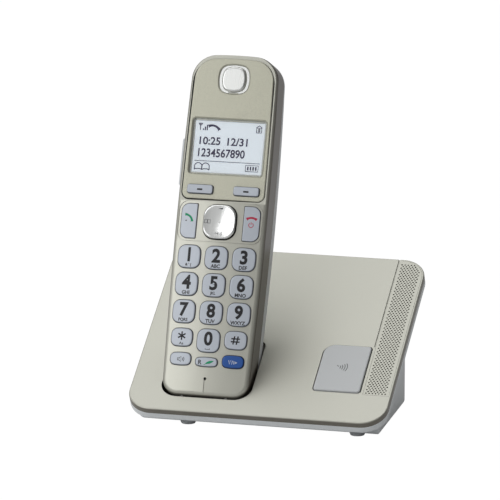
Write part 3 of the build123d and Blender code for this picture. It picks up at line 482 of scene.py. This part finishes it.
def clear_window(name):
    """Clear display window: it only adds reflections to what lies behind."""
    sheet = Finish(name)
    smears = sheet.noise(120, 3)
    gloss = sheet.node(
        "ShaderNodeBsdfAnisotropic", sockets={"Color": (0.9, 0.92, 0.94), "Roughness": smears * 0.05 + 0.04}
    )
    clear = sheet.node("ShaderNodeBsdfTransparent", sockets={"Color": (0.985, 0.99, 0.995)})
    bounce = sheet.node("ShaderNodeFresnel", sockets={"IOR": 1.38})
    return sheet.close(sheet.node("ShaderNodeMixShader", sockets={0: bounce, 1: clear, 2: gloss}))


def print_ink(name, colour, rough=0.42):
    """Pad-printed ink, a little uneven."""
    sheet = Finish(name)
    cover = sheet.noise(2600, 3)
    return sheet.surface(
        Base_Color=sheet.shade(colour, cover * 0.25 + 0.875),
        Roughness=cover * 0.12 + rough,
        Normal=sheet.bump(cover, 0.00001, 0.4),
    )


def dust_cloth(name):
    """Black woven cloth behind the grille."""
    sheet = Finish(name)
    place = sheet.place()
    pitch = 2 * math.pi / sizes().grille_pitch
    warp = (place.dot(plate.x) * pitch).math("SINE")
    weft = (place.dot(plate.y) * pitch).math("SINE")
    weave = (warp * weft) * 0.5 + 0.5
    return sheet.surface(
        Base_Color=sheet.mix(weave, (0.018, 0.017, 0.016), (0.075, 0.072, 0.066)),
        Roughness=0.85,
        Normal=sheet.bump(weave, 0.0001, 0.8),
    )


def pale_floor(name, colour):
    """Even pale floor, which the camera sees nearly white."""
    sheet = Finish(name)
    mottle = sheet.noise(3, 2)
    paint = sheet.node(
        "ShaderNodeBsdfPrincipled",
        sockets={"Base Color": sheet.shade(colour, mottle * 0.02 + 0.99), "Roughness": 0.7},
    )
    white = sheet.node("ShaderNodeEmission", sockets={"Color": (1, 1, 1), "Strength": FLOOR_GLOW})
    seen = sheet.node("ShaderNodeLightPath") * FLOOR_SEEN
    return sheet.close(sheet.node("ShaderNodeMixShader", sockets={0: seen, 1: paint, 2: white}))


# ------------------------------------------------------------------ drawing on a face


def lay(mesh, name, face, height, body, finish):
    """Lay a flat drawing in millimetres on a face, and let it ride on a body."""
    for vertex in mesh.vertices:
        x, y, z = vertex.co
        vertex.co = face.at(x, y, height(x, y) + PRINT_LIFT + z)
    mesh.materials.clear()
    mesh.materials.append(finish)
    mesh.name = name
    piece = bpy.data.objects.new(name, mesh)
    bpy.context.scene.collection.objects.link(piece)
    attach(piece, body)
    return piece


def mesh_of(curve):
    """Turn a curve into a mesh, and drop the curve."""
    holder = bpy.data.objects.new("drawing", curve)
    bpy.context.scene.collection.objects.link(holder)
    bpy.context.view_layer.update()
    mesh = bpy.data.meshes.new_from_object(holder.evaluated_get(bpy.context.evaluated_depsgraph_get()))
    bpy.data.objects.remove(holder)
    return mesh


def lettering(words, middle, height, stretch=1.0, weight=0.0):
    """Return flat text, centred at a place, so many millimetres high."""
    curve = bpy.data.curves.new("lettering", "FONT")
    curve.body = words
    curve.offset = weight
    curve.extrude = 0.01
    curve.resolution_u = 4
    mesh = mesh_of(curve)
    corners = [vertex.co.copy() for vertex in mesh.vertices]
    low = [min(corner[i] for corner in corners) for i in range(3)]
    high = [max(corner[i] for corner in corners) for i in range(3)]
    scale = height / (high[1] - low[1])
    thickness = PRINT_THICKNESS / (high[2] - low[2])
    centre = Vector([(low[i] + high[i]) / 2 for i in range(3)])
    sized = Matrix.Diagonal((scale * stretch, scale, thickness, 1))
    mesh.transform(Matrix.Translation((*middle, 0)) @ sized @ Matrix.Translation(-centre))
    return mesh


def strokes(lines, width):
    """Return flat pen strokes: each line is points x, y, or x, y and a share of the width."""
    curve = bpy.data.curves.new("strokes", "CURVE")
    curve.dimensions = "3D"
    curve.bevel_depth = width / 2
    curve.bevel_resolution = 2
    curve.use_fill_caps = True
    for line in lines:
        spline = curve.splines.new("POLY")
        spline.points.add(len(line) - 1)
        for point, place in zip(spline.points, line):
            point.co = (place[0], place[1], 0, 1)
            point.radius = place[2] if len(place) > 2 else 1.0
    mesh = mesh_of(curve)
    mesh.transform(Matrix.Diagonal((1, 1, PRINT_THICKNESS / width, 1)))
    return mesh


def arc(x, y, radius, start, end, steps=12, swell=0.0):
    """Return points along an arc, in degrees, thicker towards its two ends by swell."""
    points = []
    for step in range(steps + 1):
        share = step / steps
        angle = math.radians(start + (end - start) * share)
        thick = 1 + swell * (2 * share - 1) ** 4
        points.append((x + radius * math.cos(angle), y + radius * math.sin(angle), thick))
    return points


def moved(lines, x, y):
    """Return lines moved to a place."""
    return [[(point[0] + x, point[1] + y, *point[2:]) for point in line] for line in lines]


def box_lines(x, y, width, height):
    """Return the four sides of a rectangle as one closed line."""
    a, b = width / 2, height / 2
    corners = [(-a, -b), (a, -b), (a, b), (-a, b), (-a, -b)]
    return moved([corners], x, y)


def bar(x, y, width, height):
    """Return a filled upright bar as one thick stroke's points and its width."""
    return [(x, y - height / 2), (x, y + height / 2)], width


def finish_named(name):
    """Return a finish made before, and stop if it isn't there."""
    if name not in bpy.data.materials:
        raise RuntimeError(f"the finish {name} has to be made before it is used")
    return bpy.data.materials[name]


# ------------------------------------------------------------------ operators


class PieceOperator:
    """What every operator here shares."""

    bl_options = {"REGISTER", "UNDO"}


class TELEPHONE_OT_finishes(PieceOperator, bpy.types.Operator):
    """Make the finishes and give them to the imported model's nodes"""

    bl_idname = "telephone.finishes"
    bl_label = "Finishes"

    def execute(self, context):
        c = colours()
        print_ink("ink_black", c.ink)
        print_ink("ink_green", c.green)
        print_ink("ink_red", c.red)
        print_ink("ink_white", (0.80, 0.84, 0.90))
        print_ink("ink_grey", (0.03, 0.033, 0.038))
        print_ink("ink_picture", c.picture, 0.5)
        dust_cloth("grille_cloth_weave")
        # Black of the strip beside the display panel: painted shade in the gap there.
        soft_rubber("shade_strip_black", (0.012, 0.012, 0.012))
        # The dark colour given after each paint's own colour is painted shade on its walls that turn away
        # from the front.
        pearl = pearl_paint("champagne_pearl", c.champagne, (0.20, 0.185, 0.155), plate.z)
        handset_pearl = pearl_paint("handset_pearl", c.champagne, c.side, handset.z, 0.5, 0.3)
        panel = pearl_paint("panel_satin", c.fascia, (0.36, 0.355, 0.29), handset.z, 0.4, 0.28)
        white = moulded_plastic("white_housing", c.housing, 0.36)
        button = moulded_plastic("button_silver", (0.72, 0.745, 0.76), 0.30, 3600)
        cup = moulded_plastic("cup_grey", (0.30, 0.29, 0.27), 0.5)
        black = moulded_plastic("black_moulding", (0.02, 0.02, 0.022), 0.45)
        keys = key_plastic("key_blue_grey", c.keys, c.key_rim)
        # The second colour of the blue key is painted shade on its rounded edge.
        blue = key_plastic("key_blue", c.blue, (0.004, 0.03, 0.14))
        dome = bright_metal("satin_chrome", (0.74, 0.75, 0.74), 0.24, 300)
        pad = bright_metal("pad_chrome", (0.86, 0.87, 0.87), 0.16, 300)
        steel = bright_metal("zinc_steel", (0.55, 0.55, 0.54), 0.30, 700)
        plated = bright_metal("contact_plating", (0.82, 0.74, 0.52), 0.20, 900)
        wanted = {
            pearl: ["base_top_cover", "speaker_grille"],
            handset_pearl: ["handset_front_cover"],
            panel: ["display_fascia"],
            white: ["base_housing", "handset_rear_cover", "battery_door", "volume_rocker"],
            button: ["locator_button"],
            cup: ["cradle_cup"],
            black: [
                "line_jack",
                "dc_inlet_jack",
                "locator_switch",
                "volume_switch",
                "navigator_carrier",
                "microphone",
                "base_sounder",
                "ringer_loudspeaker",
            ],
            keys: [name for name in frame["nodes"] if name.startswith(("key_", "soft_key_"))]
            + ["talk_key", "off_key", "speaker_key", "recall_key"],
            blue: ["noise_key"],
            dome: ["earpiece_cover"],
            pad: ["navigator_pad"],
            steel: ["base_screws", "handset_screws", "earpiece_receiver"],
            plated: [
                "charge_contact_left",
                "charge_contact_right",
                "handset_charge_contacts",
                "battery_terminals",
            ],
            soft_rubber("foot_rubber", (0.62, 0.64, 0.66)): ["rubber_feet"],
            soft_rubber("membrane_rubber", (0.09, 0.09, 0.095)): ["keypad_membrane"],
            circuit_board("solder_mask"): ["base_circuit_board", "handset_circuit_board"],
            cell_wrap("cell_wrap_print"): ["battery_cells"],
            lit_screen("lit_ground", c.screen): ["lcd_module"],
            clear_window("window_clear"): ["display_window"],
        }
        left = set(frame["nodes"])
        for finish, nodes in wanted.items():
            for node in nodes:
                mesh = frame["nodes"][node].data
                mesh.materials.clear()
                mesh.materials.append(finish)
                left.discard(node)
        if left:
            raise RuntimeError(f"these nodes have no finish: {sorted(left)}")
        return {"FINISHED"}


KEY_LETTERS = ("& ' (", "ABC", "DEF", "GHI", "JKL", "MNO", "PQRS", "TUV", "WXYZ")


class TELEPHONE_OT_key_legends(PieceOperator, bpy.types.Operator):
    """Print the numbers and letters on the keypad"""

    bl_idname = "telephone.key_legends"
    bl_label = "Key legends"

    def execute(self, context):
        ink = finish_named("ink_black")
        digit = sizes().digit_height / MM
        letter = sizes().letter_height / MM
        stretch = sizes().digit_stretch
        weight = sizes().digit_weight
        surface = crowned(KEY_RISE)
        for number in range(10):
            key = f"key_{number}"
            x, y = handset.middle(key)
            width = stretch if number != 1 else stretch * 0.9
            mesh = lettering(str(number), (x, y + 1.25), digit, width, weight)
            lay(mesh, f"number_{number}", handset, surface, key, ink)
            if number:
                words = KEY_LETTERS[number - 1]
                mesh = lettering(words, (x, y - 3.95), letter, 0.95, 0.03)
            else:
                cup = [(-1.1, 0.45), (-1.1, 0), (1.1, 0), (1.1, 0.45)]
                mesh = strokes(moved([cup], x, y - 4.1), 0.32)
            lay(mesh, f"letters_{number}", handset, surface, key, ink)
        x, y = handset.middle("key_star")
        rays = []
        for turn in range(3):
            angle = math.radians(90 + 60 * turn)
            dx, dy = 2.15 * math.cos(angle), 2.15 * math.sin(angle)
            rays.append([(-dx, -dy), (dx, dy)])
        mesh = strokes(moved(rays, x, y + 0.95), 0.72)
        lay(mesh, "number_star", handset, surface, "key_star", ink)
        mesh = lettering("Aa", (x, y - 2.75), 1.35, 1.1, 0.014)
        lay(mesh, "letters_star", handset, surface, "key_star", ink)
        x, y = handset.middle("key_hash")
        lines = [
            [(-1.1, -2.1), (-0.5, 2.1)],
            [(0.6, -2.1), (1.2, 2.1)],
            [(-2.1, 0.75), (2.2, 0.75)],
            [(-2.2, -0.75), (2.1, -0.75)],
        ]
        mesh = strokes(moved(lines, x, y + 0.3), 0.7)
        lay(mesh, "number_hash", handset, surface, "key_hash", ink)
        return {"FINISHED"}


class TELEPHONE_OT_function_marks(PieceOperator, bpy.types.Operator):
    """Print the marks on the call keys, the navigator, the soft keys and the bottom row"""

    bl_idname = "telephone.function_marks"
    bl_label = "Function marks"

    def execute(self, context):
        black = finish_named("ink_black")
        grey = finish_named("ink_grey")
        call = crowned(CALL_KEY_RISE)
        low = crowned(KEY_RISE)
        x, y = handset.middle("talk_key")
        receiver = arc(-2.0, -2.0, 3.7, 92, 4, 14, 0.55)
        lay(
            strokes(moved([receiver], x, y + 1.6), 0.95),
            "talk_mark",
            handset,
            call,
            "talk_key",
            finish_named("ink_green"),
        )
        dots = [[(-0.45, 0), (0.45, 0)], [(0, -0.35), (0, 0.35)]]
        lay(
            strokes(moved(dots, x - 1.4, y + 0.2), 0.3),
            "talk_dot",
            handset,
            call,
            "talk_key",
            grey,
        )
        x, y = handset.middle("off_key")
        red = finish_named("ink_red")
        receiver = arc(0, -3.6, 4.1, 128, 52, 14, 0.6)
        lay(strokes(moved([receiver], x, y + 2.9), 1.0), "off_mark", handset, call, "off_key", red)
        ring = [arc(0, 0, 1.15, 120, 420, 20), [(0, 0.2), (0, 1.5)]]
        lay(strokes(moved(ring, x - 0.1, y - 0.3), 0.36), "power_mark", handset, call, "off_key", red)
        for lines, width, name in self.navigator_marks():
            lay(
                strokes(moved(lines, pad_x, pad_y), width),
                name,
                handset,
                dished,
                "navigator_pad",
                grey,
            )
        for key in ("soft_key_left", "soft_key_right"):
            x, y = handset.middle(key)
            dash = [[(-1.35, 0), (1.35, 0)]]
            lay(
                strokes(moved(dash, x, y), 0.85),
                f"{key}_dash",
                handset,
                level(SOFT_KEY_TOP),
                key,
                black,
            )
        x, y = handset.middle("speaker_key")
        speaker = [
            *box_lines(-1.1, 0, 0.8, 1.1),
            [(-0.6, 0.55), (0.3, 1.3), (0.3, -1.3), (-0.6, -0.55)],
            arc(0.2, 0, 1.0, -40, 40, 6),
            arc(0.2, 0, 1.7, -40, 40, 8),
        ]
        lay(
            strokes(moved(speaker, x, y), 0.3),
            "speaker_mark",
            handset,
            low,
            "speaker_key",
            grey,
        )
        x, y = handset.middle("recall_key")
        lay(
            lettering("R", (x - 3.1, y), 2.3, 0.95, 0.02),
            "recall_mark",
            handset,
            low,
            "recall_key",
            black,
        )
        leaf = [
            [(-2.0, -0.9, 0.3), (-1.2, -0.3, 1.4), (0.0, 0.1, 2.2), (1.2, 0.5, 1.6), (2.2, 0.9, 0.2)],
            [(-2.7, -1.2, 0.5), (-2.0, -0.9, 0.5)],
        ]
        lay(
            strokes(moved(leaf, x + 1.6, y), 0.62),
            "recall_leaf",
            handset,
            low,
            "recall_key",
            finish_named("ink_green"),
        )
        x, y = handset.middle("noise_key")
        wave = [
            [(-2.0, 0.9), (-1.5, -0.9), (-0.9, 1.1), (-0.4, -1.1), (0.1, 0.9)],
            [(0.7, 0.7), (0.7, -0.9)],
            [(1.4, 0.45), (1.4, -0.6)],
            [(2.0, 0.25), (2.0, -0.35)],
        ]
        lay(
            strokes(moved(wave, x, y), 0.36),
            "noise_mark",
            handset,
            low,
            "noise_key",
            finish_named("ink_white"),
        )
        return {"FINISHED"}

    def navigator_marks(self):
        """Return the four marks on the pad: volume wedge, book, redial and ring."""
        edge = pad_half - 2.2
        wedge = [[(-1.1, 0, 0.15), (1.1, 0.25, 1.0)]]
        book = [*box_lines(-0.75, 0, 1.3, 1.7), *box_lines(0.75, 0, 1.3, 1.7)]
        again = [arc(-0.7, 0, 0.75, 0, 360, 12), [(0.9, -0.4), (0.9, 0.4)], [(1.3, 0), (0.5, 0)]]
        ring = [
            [(-1.9, 0), (0.2, 0)],
            [(-0.4, 0.6), (0.2, 0), (-0.4, -0.6)],
            arc(0.0, 0, 1.1, -40, 40, 6),
            arc(0.0, 0, 1.8, -40, 40, 6),
        ]
        return [
            (moved(wedge, 0.2, edge + 0.5), 0.75, "pad_volume_mark"),
            (moved(book, -edge, 0), 0.22, "pad_book_mark"),
            (moved(again, edge - 0.4, 0), 0.24, "pad_redial_mark"),
            (moved(ring, 0, -edge + 0.3), 0.26, "pad_ring_mark"),
        ]


class TELEPHONE_OT_display_picture(PieceOperator, bpy.types.Operator):
    """Draw the picture on the display: signal, clock, a number and the cell's charge"""

    bl_idname = "telephone.display_picture"
    bl_label = "Display picture"

    def execute(self, context):
        x, y = handset.middle("display_window")
        ink = finish_named("ink_picture")
        surface = level(PICTURE_LEVEL)

        def put(mesh, name):
            lay(mesh, name, handset, surface, "handset", ink)

        aerial = [
            [(-1.0, 1.7), (0, 0.4), (1.0, 1.7)],
            [(-1.0, 1.7), (1.0, 1.7)],
            [(0, 1.7), (0, -1.7)],
        ]
        put(strokes(moved(aerial, x - 15.2, y + 9.8), 0.42), "picture_aerial")
        for place in range(3):
            tall = 0.9 + 0.95 * place
            line, width = bar(x - 13.6 + place * 0.95, y + 8.1 + tall / 2, 0.62, tall)
            put(strokes([line], width), f"picture_signal_{place + 1}")
        receiver = arc(-1.2, -2.9, 4.2, 118, 28, 12, 0.7)
        put(strokes(moved([receiver], x - 7.9, y + 9.4), 1.05), "picture_receiver")
        house = [
            [(-1.5, 0.8), (0, 1.9), (1.5, 0.8)],
            *box_lines(0, -0.5, 2.6, 2.4),
            [(-0.6, -0.1), (0.6, -0.1)],
            [(-0.6, -0.8), (0.6, -0.8)],
            [(0, 0.5), (0, -1.6)],
        ]
        put(strokes(moved(house, x + 14.8, y + 9.9), 0.4), "picture_house")
        put(lettering("10:25", (x - 9.7, y + 2.9), 4.0, 1.0, 0.022), "picture_clock")
        put(lettering("12/31", (x + 4.4, y + 2.9), 4.0, 1.0, 0.022), "picture_date")
        put(lettering("1234567890", (x - 3.3, y - 3.1), 4.4, 0.86, 0.022), "picture_number")
        put(strokes([[(x - 16.8, y - 7.3), (x + 16.8, y - 7.3)]], 0.3), "picture_line")
        book = [
            [(0, -1.4), *[(p[0], p[1]) for p in arc(-1.9, 0.0, 1.95, 20, 160, 8)], (-3.8, -1.5)],
            [(0, -1.4), *[(p[0], p[1]) for p in arc(1.9, 0.0, 1.95, 160, 20, 8)], (3.8, -1.5)],
            [(-3.8, -1.5), (-2.9, -1.0), (-1.0, -1.0), (0, -1.4), (1.0, -1.0), (2.9, -1.0), (3.8, -1.5)],
            [(0, -1.4), (0, 0.9)],
        ]
        put(strokes(moved(book, x - 12.6, y - 10.3), 0.46), "picture_book")
        put(strokes(box_lines(x + 12.9, y - 9.9, 6.4, 3.1), 0.36), "picture_cell")
        for place in range(4):
            line, width = bar(x + 10.9 + place * 1.35, y - 9.9, 0.72, 1.9)
            put(strokes([line], width), f"picture_charge_{place + 1}")
        return {"FINISHED"}


class TELEPHONE_OT_locator_mark(PieceOperator, bpy.types.Operator):
    """Print the sound-wave mark on the locator button"""

    bl_idname = "telephone.locator_mark"
    bl_label = "Locator mark"

    def execute(self, context):
        x, y = plate.middle("locator_button")
        waves = [[(-2.6, 1.1), (-2.1, 0.9), (-1.8, 0.2)]]
        for ring in range(4):
            waves.append(arc(-2.6, 0, 1.9 + ring * 1.15, -30, 30, 8))
        mesh = strokes(moved(waves, x - 0.4, y), 0.34)
        surface = level(LOCATOR_RISE)
        lay(mesh, "locator_mark", plate, surface, "locator_button", finish_named("ink_grey"))
        return {"FINISHED"}


class TELEPHONE_OT_panel_seal(PieceOperator, bpy.types.Operator):
    """Lay a black strip in the gap beside the display panel: painted shade, which stands in for the shade in
    that gap
    """

    bl_idname = "telephone.panel_seal"
    bl_label = "Display panel shade strip"

    def execute(self, context):
        low, high = reach("display_fascia", handset.y)
        foot = reach("handset_front_cover", handset.y)[0]
        start, end = low - foot, high - foot
        half = (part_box("display_fascia")[1].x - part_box("display_fascia")[0].x) / MM / 2
        radius = sizes().seal_radius / MM
        corner, shoulder, turn = 3.5, 10.7, 90
        line = []
        for middle_x, middle_y, bend, first in (
            (-half + corner, start + corner, corner, 270),
            (-half + shoulder + 0.55, end - shoulder - 1.25, shoulder, 180),
            (half - shoulder - 0.55, end - shoulder - 1.25, shoulder, 90),
            (half - corner, start + corner, corner, 0),
        ):
            for point in arc(middle_x, middle_y, bend, first, first - turn, 10):
                # Painted shade: the strip is drawn thicker on the left, where the gap lies in shade.
                leftness = 0.5 - 0.5 * point[0] / half
                line.append((point[0], point[1], 0.45 + 0.85 * leftness))
        line.append(line[0])
        curve = bpy.data.curves.new("shade_strip", "CURVE")
        curve.dimensions = "3D"
        curve.bevel_depth = radius
        curve.bevel_resolution = 3
        spline = curve.splines.new("POLY")
        spline.points.add(len(line) - 2)
        spline.use_cyclic_u = True
        for point, place in zip(spline.points, line):
            point.co = (place[0], place[1], 0, 1)
            point.radius = place[2]
        mesh = mesh_of(curve)
        surface = level(-0.62)
        finish = finish_named("shade_strip_black")
        lay(mesh, "display_panel_shade_strip", handset, surface, "handset", finish)
        return {"FINISHED"}


class TELEPHONE_OT_tactile_dot(PieceOperator, bpy.types.Operator):
    """Mould the small dot that marks the middle key"""

    bl_idname = "telephone.tactile_dot"
    bl_label = "Tactile dot"

    def execute(self, context):
        x, y = handset.middle("key_5")
        shape = bmesh.new()
        bmesh.ops.create_uvsphere(shape, u_segments=20, v_segments=10, radius=0.55)
        bmesh.ops.scale(shape, vec=(1, 1, 0.45), verts=shape.verts)
        bmesh.ops.translate(shape, vec=(x, y + 1.0, 0), verts=shape.verts)
        mesh = bpy.data.meshes.new("tactile_dot")
        shape.to_mesh(mesh)
        shape.free()
        mesh.shade_smooth()
        finish = finish_named("key_blue_grey")
        lay(mesh, "tactile_dot", handset, crowned(KEY_RISE), "key_5", finish)
        return {"FINISHED"}


class TELEPHONE_OT_grille_cloth(PieceOperator, bpy.types.Operator):
    """Stretch the black dust cloth behind the grille"""

    bl_idname = "telephone.grille_cloth"
    bl_label = "Grille cloth"

    def execute(self, context):
        low, high = reach("speaker_grille", plate.x)
        foot = reach("base_top_cover", plate.y)[0]
        start, end = (edge - foot for edge in reach("speaker_grille", plate.y))
        shape = bmesh.new()
        bmesh.ops.create_cube(shape, size=1)
        size = (high - low - 2 * CLOTH_MARGIN, end - start - 2 * CLOTH_MARGIN, CLOTH_THICKNESS)
        bmesh.ops.scale(shape, vec=size, verts=shape.verts)
        bmesh.ops.translate(shape, vec=((low + high) / 2, (start + end) / 2, 0), verts=shape.verts)
        upright = [
            edge
            for edge in shape.edges
            if abs((edge.verts[0].co - edge.verts[1].co).normalized().z) > 0.9
            and edge.verts[0].co.x > (low + high) / 2
            and edge.verts[0].co.y > (start + end) / 2
        ]
        bmesh.ops.bevel(
            shape, geom=upright, offset=CLOTH_CORNER, segments=8, profile=0.5, affect="EDGES", material=-1
        )
        mesh = bpy.data.meshes.new("grille_cloth")
        shape.to_mesh(mesh)
        shape.free()
        finish = finish_named("grille_cloth_weave")
        lay(mesh, "grille_cloth", plate, level(CLOTH_LEVEL), "base", finish)
        return {"FINISHED"}


def aimed(position, target):
    """Return the turn that points a camera or a lamp at a target."""
    return (Vector(target) - Vector(position)).to_track_quat("-Z", "Y")


class TELEPHONE_OT_stage(PieceOperator, bpy.types.Operator):
    """Set up the floor, the soft light and the camera"""

    bl_idname = "telephone.stage"
    bl_label = "Stage"

    camera_place: FloatVectorProperty(name="Camera", unit="LENGTH", default=(0.56737, -2.33406, 0.70501))
    camera_target: FloatVectorProperty(name="Target", unit="LENGTH", default=(-0.00126, -0.05342, 0.09588))

    def execute(self, context):
        settings = context.scene.telephone_stage
        self.lay_floor(settings.floor_width)
        self.light_sky(settings.sky)
        centre = (cad_box[0] + cad_box[1]) / 2
        self.lamp("front_lamp", *FRONT_LAMP, centre, settings.front_power)
        self.lamp("top_lamp", *TOP_LAMP, centre, settings.top_power)
        camera = bpy.data.cameras.new("camera")
        camera.lens = settings.lens
        camera.sensor_width = 36
        camera.clip_end = 50
        holder = bpy.data.objects.new("camera", camera)
        context.scene.collection.objects.link(holder)
        holder.location = self.camera_place
        holder.rotation_mode = "QUATERNION"
        holder.rotation_quaternion = aimed(self.camera_place, self.camera_target)
        context.scene.camera = holder
        context.scene.view_settings.view_transform = "Standard"
        return {"FINISHED"}

    def lay_floor(self, width):
        shape = bmesh.new()
        bmesh.ops.create_grid(shape, x_segments=2, y_segments=2, size=width / 2)
        mesh = bpy.data.meshes.new("floor")
        shape.to_mesh(mesh)
        shape.free()
        mesh.materials.append(pale_floor("floor_pale", colours().floor))
        floor = bpy.data.objects.new("floor", mesh)
        floor.location = (0, 0, cad_box[0].z)
        bpy.context.scene.collection.objects.link(floor)

    def light_sky(self, strength):
        """Surround the telephone with a soft light that is dimmer towards its right."""
        world = bpy.data.worlds.new("studio")
        bpy.context.scene.world = world
        world.use_nodes = True
        tree = world.node_tree
        tree.nodes.clear()
        place = tree.nodes.new("ShaderNodeTexCoord")
        split = tree.nodes.new("ShaderNodeSeparateXYZ")
        ramp = tree.nodes.new("ShaderNodeValToRGB")
        ground = tree.nodes.new("ShaderNodeBackground")
        end = tree.nodes.new("ShaderNodeOutputWorld")
        stops = ((-0.05, 1.0), (0.12, 0.80), (0.40, 0.36), (0.90, 0.22))
        for index, (position, value) in enumerate(stops):
            elements = ramp.color_ramp.elements
            stop = elements[index] if index < 2 else elements.new(position)
            stop.position = position * 0.5 + 0.5
            stop.color = (value, value, value * 0.99, 1)
        half = tree.nodes.new("ShaderNodeMath")
        half.operation = "MULTIPLY_ADD"
        half.inputs[1].default_value = 0.5
        half.inputs[2].default_value = 0.5
        ground.inputs["Strength"].default_value = strength
        tree.links.new(place.outputs["Generated"], split.inputs[0])
        tree.links.new(split.outputs["X"], half.inputs[0])
        tree.links.new(half.outputs[0], ramp.inputs[0])
        tree.links.new(ramp.outputs[0], ground.inputs["Color"])
        tree.links.new(ground.outputs[0], end.inputs["Surface"])

    def lamp(self, name, position, size, target, power):
        light = bpy.data.lights.new(name, "AREA")
        light.shape = "SQUARE"
        light.size = size
        light.energy = power
        holder = bpy.data.objects.new(name, light)
        bpy.context.scene.collection.objects.link(holder)
        holder.location = position
        holder.rotation_mode = "QUATERNION"
        holder.rotation_quaternion = aimed(position, target)


class TELEPHONE_PT_panel(bpy.types.Panel):
    """List the telephone's colours, sizes and pieces"""

    bl_label = "Telephone"
    bl_space_type = "VIEW_3D"
    bl_region_type = "UI"
    bl_category = "Telephone"

    def draw(self, context):
        for group in GROUPS:
            settings = getattr(context.scene, group)
            box = self.layout.box()
            for name in settings.bl_rna.properties.keys():
                if name not in ("name", "rna_type"):
                    box.prop(settings, name)
        for operator in OPERATORS:
            self.layout.operator(operator.bl_idname)


OPERATORS = (
    TELEPHONE_OT_finishes,
    TELEPHONE_OT_key_legends,
    TELEPHONE_OT_function_marks,
    TELEPHONE_OT_display_picture,
    TELEPHONE_OT_locator_mark,
    TELEPHONE_OT_panel_seal,
    TELEPHONE_OT_tactile_dot,
    TELEPHONE_OT_grille_cloth,
    TELEPHONE_OT_stage,
)
GROUPS = {
    "telephone_colours": TelephoneColours,
    "telephone_sizes": TelephoneSizes,
    "telephone_stage": TelephoneStage,
}


def register():
    for name, group in GROUPS.items():
        bpy.utils.register_class(group)
        setattr(bpy.types.Scene, name, PointerProperty(type=group))
    for kind in (*OPERATORS, TELEPHONE_PT_panel):
        bpy.utils.register_class(kind)


def unregister():
    for kind in (TELEPHONE_PT_panel, *reversed(OPERATORS)):
        bpy.utils.unregister_class(kind)
    for name, group in reversed(GROUPS.items()):
        delattr(bpy.types.Scene, name)
        bpy.utils.unregister_class(group)


def main():
    register()
    for operator in OPERATORS:
        group, name = operator.bl_idname.split(".")
        getattr(getattr(bpy.ops, group), name)()


if __name__ == "__main__":
    main()
